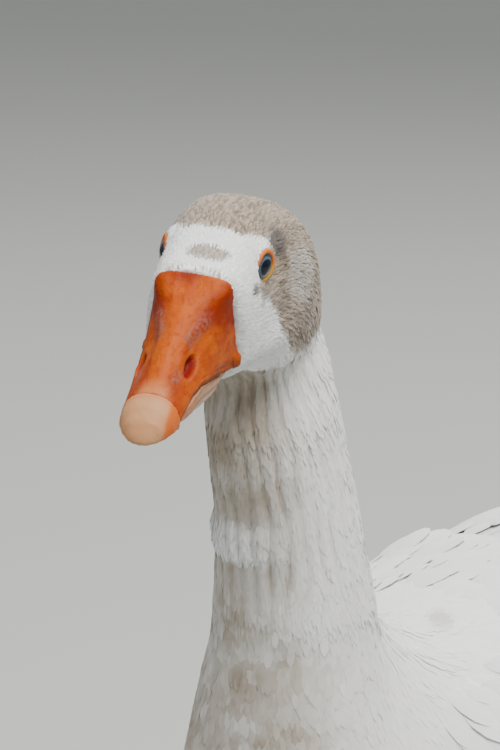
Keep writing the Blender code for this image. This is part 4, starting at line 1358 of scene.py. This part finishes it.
scaly = leg_finish()
claw_horn = pale_horn_finish("claw_horn", (0.30, 0.21, 0.15), (0.42, 0.31, 0.23), 0.36)
for side_name, side in SIDES.items():
    leg_nodes = ["shank_" + side_name, "foot_" + side_name]
    leg = fine_piece("leg_" + side_name, joined_copy(leg_nodes, 0.22 * MM), LEG_VOXEL, 3)
    shape_leg(leg.data, side_name, side)
    dress(leg, scaly, leg_nodes)
    claw_nodes = ["claw_" + side_name + "_" + toe for toe in ("inner", "middle", "outer", "hind")]
    claws = fine_piece("claws_" + side_name, joined_copy(claw_nodes), CLAW_VOXEL, 4)
    dress(claws, claw_horn, claw_nodes)
    print("leg", side_name, "faces:", len(leg.data.polygons))

# %% [markdown]
# ## Wings, folded
# On a folded wing the small coverts lie in staggered rows like tiles, the tertials and
# secondaries lie over the flank in a fan, and the tips of the primaries cross above the
# tail.  The rows are given roots that the same tree plants.  The long feathers are
# swept along lines that follow the body, because a straight feather would stand off it.

# %% Reading the skin at any place
skin_tree = BVHTree.FromPolygons(*polygons_of(skin.data))
skin_map = read_rows(skin.data.uv_layers["OFBake"].uv, "vector", 2)


def on_flank(side, y, angle_deg):
    """Place, outward way and face of the skin, seen from the trunk's axis."""
    angle = math.radians(angle_deg)
    way = Vector((side * math.cos(angle), 0.0, math.sin(angle)))
    return skin_tree.ray_cast(Vector((0.0, y, AXIS_HEIGHT)) + way * 0.25, -way)[:3]


def roots_mesh(name, roots):
    """Loose points that carry what the coat's tree reads.  Roots are (place, out, face, growth)."""
    spots, outs, faces, growths = zip(*roots)
    mesh = bpy.data.meshes.new(name)
    mesh.from_pydata(spots, [], [])
    polygons = [skin.data.polygons[face] for face in faces]
    corners = [face.vertices[0] for face in polygons]
    outs = np.array([tuple(out) for out in outs])
    put_field(mesh, "out", outs)
    put_field(mesh, "lie", laid_flat(lie[corners], outs))
    put_field(mesh, "lift", np.ones(len(roots)))
    put_field(mesh, "growth", np.array(growths))
    for label in ("cap", "dark", "dull"):
        put_field(mesh, label, skin_fields[label][corners])
    loops = [face.loop_start for face in polygons]
    put_field(mesh, "OFBake", np.column_stack([skin_map[loops], np.zeros(len(roots))]))
    return mesh


print("skin faces to root on:", len(skin.data.polygons))

# %% Coverts in rows
COVERT_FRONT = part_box("wing_left")[0][1] + 0.010
COVERT_REAR = 0.075
COVERT_LOW_REACH = 0.045
COVERT_STEP = 0.0095
COVERT_DEG = (-40.0, 74.0)
FLANK_EDGE_DEG = -22.0
COVERT_LIFT_OFF = 2.6 * MM
COVERT_SIZES = (2.0, 30.0, 15.5, 5.5, 0.070, 0.05)


def covert_roots(side):
    """Staggered rows of roots on one wing, from its front back."""
    roots = []
    row = 0
    y = COVERT_FRONT
    while y < COVERT_REAR + COVERT_LOW_REACH:
        share = (y - COVERT_FRONT) / (COVERT_REAR - COVERT_FRONT)
        step_deg = 4.6 + 2.2 * share
        angle = COVERT_DEG[0] + (row % 2) * step_deg / 2.0
        while angle < COVERT_DEG[1]:
            place, out, face = on_flank(side, y - 0.012 * math.sin(math.radians(angle)), angle)
            rear = COVERT_REAR + (COVERT_LOW_REACH if angle < FLANK_EDGE_DEG else 0.0)
            if place is not None and y < rear:
                over = COVERT_LIFT_OFF * float(ease(place.y, 0.012, 0.045)) * (angle > FLANK_EDGE_DEG - 2.0)
                if wing_share[skin.data.polygons[face].vertices[0]] > 0.4:
                    roots.append((place + out * over, out, face, 0.60 + 0.48 * share))
            angle += step_deg
        y += COVERT_STEP * (0.8 + 0.5 * share)
        row += 1
    return roots


for side_name, side in SIDES.items():
    plant_coat("coverts_" + side_name, None, broad_vane, contour_finish, 51, *COVERT_SIZES,
               roots=roots_mesh("covert_roots", covert_roots(side)))

# %% [markdown]
# ## Long feathers
# A long feather is a closed strip swept along a line, with a raised shaft.  It is tilted
# sideways, so that each one's edge lies over its neighbour, and it gets its own cell of
# the map that a bake would use.

# %% A long feather, swept along a line
LONG_ACROSS = (-1.0, -0.75, -0.4, -0.06, 0.0, 0.06, 0.4, 0.75, 1.0)
SHAFT_HEIGHT = 0.35 * MM
SHEET_CELLS = 8


def vane_width(t, tip_share):
    """Share of the full half width along a long feather."""
    root = 0.45 + 0.55 * min(t / 0.25, 1.0)
    past = max(t - (1.0 - tip_share), 0.0) / tip_share
    return root * math.sqrt(max(1.0 - past ** 2.4, 0.0004))


def add_long_feather(form, maps, cell, line, outs, half_width, crest, tilt, tip_share):
    """Closed vane with a raised shaft, swept along a line, with its own cell of the map."""
    last = len(line) - 1
    rings = []
    for i, (point, out) in enumerate(zip(line, outs)):
        way = (line[min(i + 1, last)] - line[max(i - 1, 0)]).normalized()
        across = way.cross(out.normalized()).normalized()
        out = across.cross(way).normalized()
        t = i / last
        half = half_width * vane_width(t, tip_share)
        ring = []
        for x in LONG_ACROSS:
            arch = crest * (1.0 - x * x) + SHAFT_HEIGHT * (abs(x) < 0.01) * (1.0 - t)
            arch += tilt * x * half / half_width
            ring.append((form.verts.new(point + across * (x * half) + out * arch), x, t))
        rings.append(ring)

    def face_of(corners):
        face = form.faces.new([corner[0] for corner in corners])
        face.smooth = True
        for loop, (_, x, t) in zip(face.loops, corners):
            loop[maps[0]].uv = (0.5 + 0.5 * x, t)
            loop[maps[1]].uv = ((cell % SHEET_CELLS + 0.5 + 0.45 * x) / SHEET_CELLS,
                                (cell // SHEET_CELLS + 0.05 + 0.9 * t) / SHEET_CELLS)

    for low, high in zip(rings, rings[1:]):
        for k in range(len(LONG_ACROSS) - 1):
            face_of((low[k], low[k + 1], high[k + 1], high[k]))
        face_of((low[0], high[0], high[-1], low[-1]))
    face_of(rings[0][::-1])
    face_of(rings[-1])


def long_feathers(name, feathers, dull_and_shade_here, nodes=(), tip_share=0.22):
    """One piece of many long feathers: each is (line, outs, half width, crest, tilt)."""
    form = bmesh.new()
    maps = (form.loops.layers.uv.new("Vane"), form.loops.layers.uv.new("OFBake"))
    for cell, feather in enumerate(feathers):
        add_long_feather(form, maps, cell, *feather, tip_share)
    bmesh.ops.recalc_face_normals(form, faces=form.faces)
    mesh = mesh_of(name, form)
    mesh.set_sharp_from_angle(angle=math.radians(60.0))
    for label, value in (("cap", 0.0), ("dark", 0.0), ("dull", dull_and_shade_here)):
        put_field(mesh, label, np.full(len(mesh.vertices), value))
    own = np.random.default_rng(7).random(len(feathers))
    put_field(mesh, "shade", np.repeat(own, len(mesh.vertices) // len(feathers)))
    mesh.uv_layers["OFBake"].active_render = True
    dress(new_piece(name, mesh), quill_finish, nodes)
    print(name, "feathers:", len(feathers), "faces:", len(mesh.polygons))


# %% Secondaries and tertials
FLANK_FEATHERS = 13
FLANK_STEPS = 15


def flank_feathers(side):
    """Lines of the long feathers that lie over the flank, lowest first."""
    feathers = []
    for share in np.arange(FLANK_FEATHERS) / (FLANK_FEATHERS - 1):
        root = (0.030 - 0.010 * share, -27.0 + 84.0 * share)
        tip = (0.158 + 0.062 * math.sin(share * 2.4), 15.0 + 58.0 * share)
        line, outs = [], []
        for t in np.arange(FLANK_STEPS + 1) / FLANK_STEPS:
            y = root[0] + (tip[0] - root[0]) * t
            place, out, _ = on_flank(side, y, root[1] + (tip[1] - root[1]) * t ** 1.2)
            off_skin = -1.5 + 3.4 * min(t / 0.25, 1.0) + 0.9 * math.sin(math.pi * t)
            line.append(place + out * (off_skin * MM))
            outs.append(out)
        feathers.append((line, outs, 14.5 * MM, 0.7 * MM, 1.1 * MM * side))
    return feathers


for side_name, side in SIDES.items():
    long_feathers("flank_feathers_" + side_name, flank_feathers(side), 0.03)

# %% Primaries, crossing over the rump
PRIMARIES = 6
PRIMARY_ROOT_HEIGHT = 0.3275
PRIMARY_STACK = 0.0011
STRAIGHT_STEPS = np.linspace(0.0, 1.0, 13)


def primary_feathers(side):
    """Straight stiff tips, each longer than the one above it and farther out."""
    low, high = (Vector(c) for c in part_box("primaries_left"))
    feathers = []
    for i in range(PRIMARIES):
        share = i / (PRIMARIES - 1)
        root = Vector((side * (0.024 + 0.007 * share), low.y - 0.030,
                       PRIMARY_ROOT_HEIGHT - PRIMARY_STACK * i))
        tip = Vector((side * (0.010 + 0.009 * share), high.y - 0.052 * (1.0 - share),
                      high.z - 0.0015 - PRIMARY_STACK * i))
        line = [root.lerp(tip, t) + Vector((0, 0, 0.002 * math.sin(math.pi * t)))
                for t in STRAIGHT_STEPS]
        outs = [Vector((side * 0.25, 0.0, 1.0)).normalized()] * len(line)
        feathers.append((line, outs, 7.5 * MM, 0.6 * MM, 0.5 * MM * side))
    return feathers


for side_name, side in SIDES.items():
    long_feathers("primary_feathers_" + side_name, primary_feathers(side), 0.10,
                  ["primaries_" + side_name], 0.5)

# %% Tail fan
TAIL_FEATHERS = 14
TAIL_HALF_ANGLE_DEG = 20.0
TAIL_PIVOT_Y = 0.141
TAIL_ROOT_RADIUS = 0.062
TAIL_ROOT_HEIGHT = 0.2965
TAIL_RISE = 0.0235
TAIL_STACK = 0.00018


def tail_feathers():
    """Fan of feathers, the middle pair on top."""
    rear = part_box("tail")[1][1]
    feathers = []
    order = sorted(range(TAIL_FEATHERS), key=lambda k: -abs(k - (TAIL_FEATHERS - 1) / 2.0))
    for rank, k in enumerate(order):
        across = 2.0 * (k + 0.5) / TAIL_FEATHERS - 1.0
        angle = math.radians(TAIL_HALF_ANGLE_DEG) * across
        reach = rear - TAIL_PIVOT_Y - 0.009 * across ** 2
        line = []
        for t in STRAIGHT_STEPS:
            radius = TAIL_ROOT_RADIUS + (reach - TAIL_ROOT_RADIUS) * t
            rise = TAIL_ROOT_HEIGHT + TAIL_RISE * t - 0.008 * across ** 2 + TAIL_STACK * rank
            line.append(Vector((radius * math.sin(angle), TAIL_PIVOT_Y + radius * math.cos(angle), rise)))
        outs = [Vector((-0.15 * across, 0.0, 1.0)).normalized()] * len(line)
        feathers.append((line, outs, 8.0 * MM, 0.5 * MM, math.copysign(0.7 * MM, across)))
    return feathers


long_feathers("tail_feathers", tail_feathers(), 0.04, ["tail"])
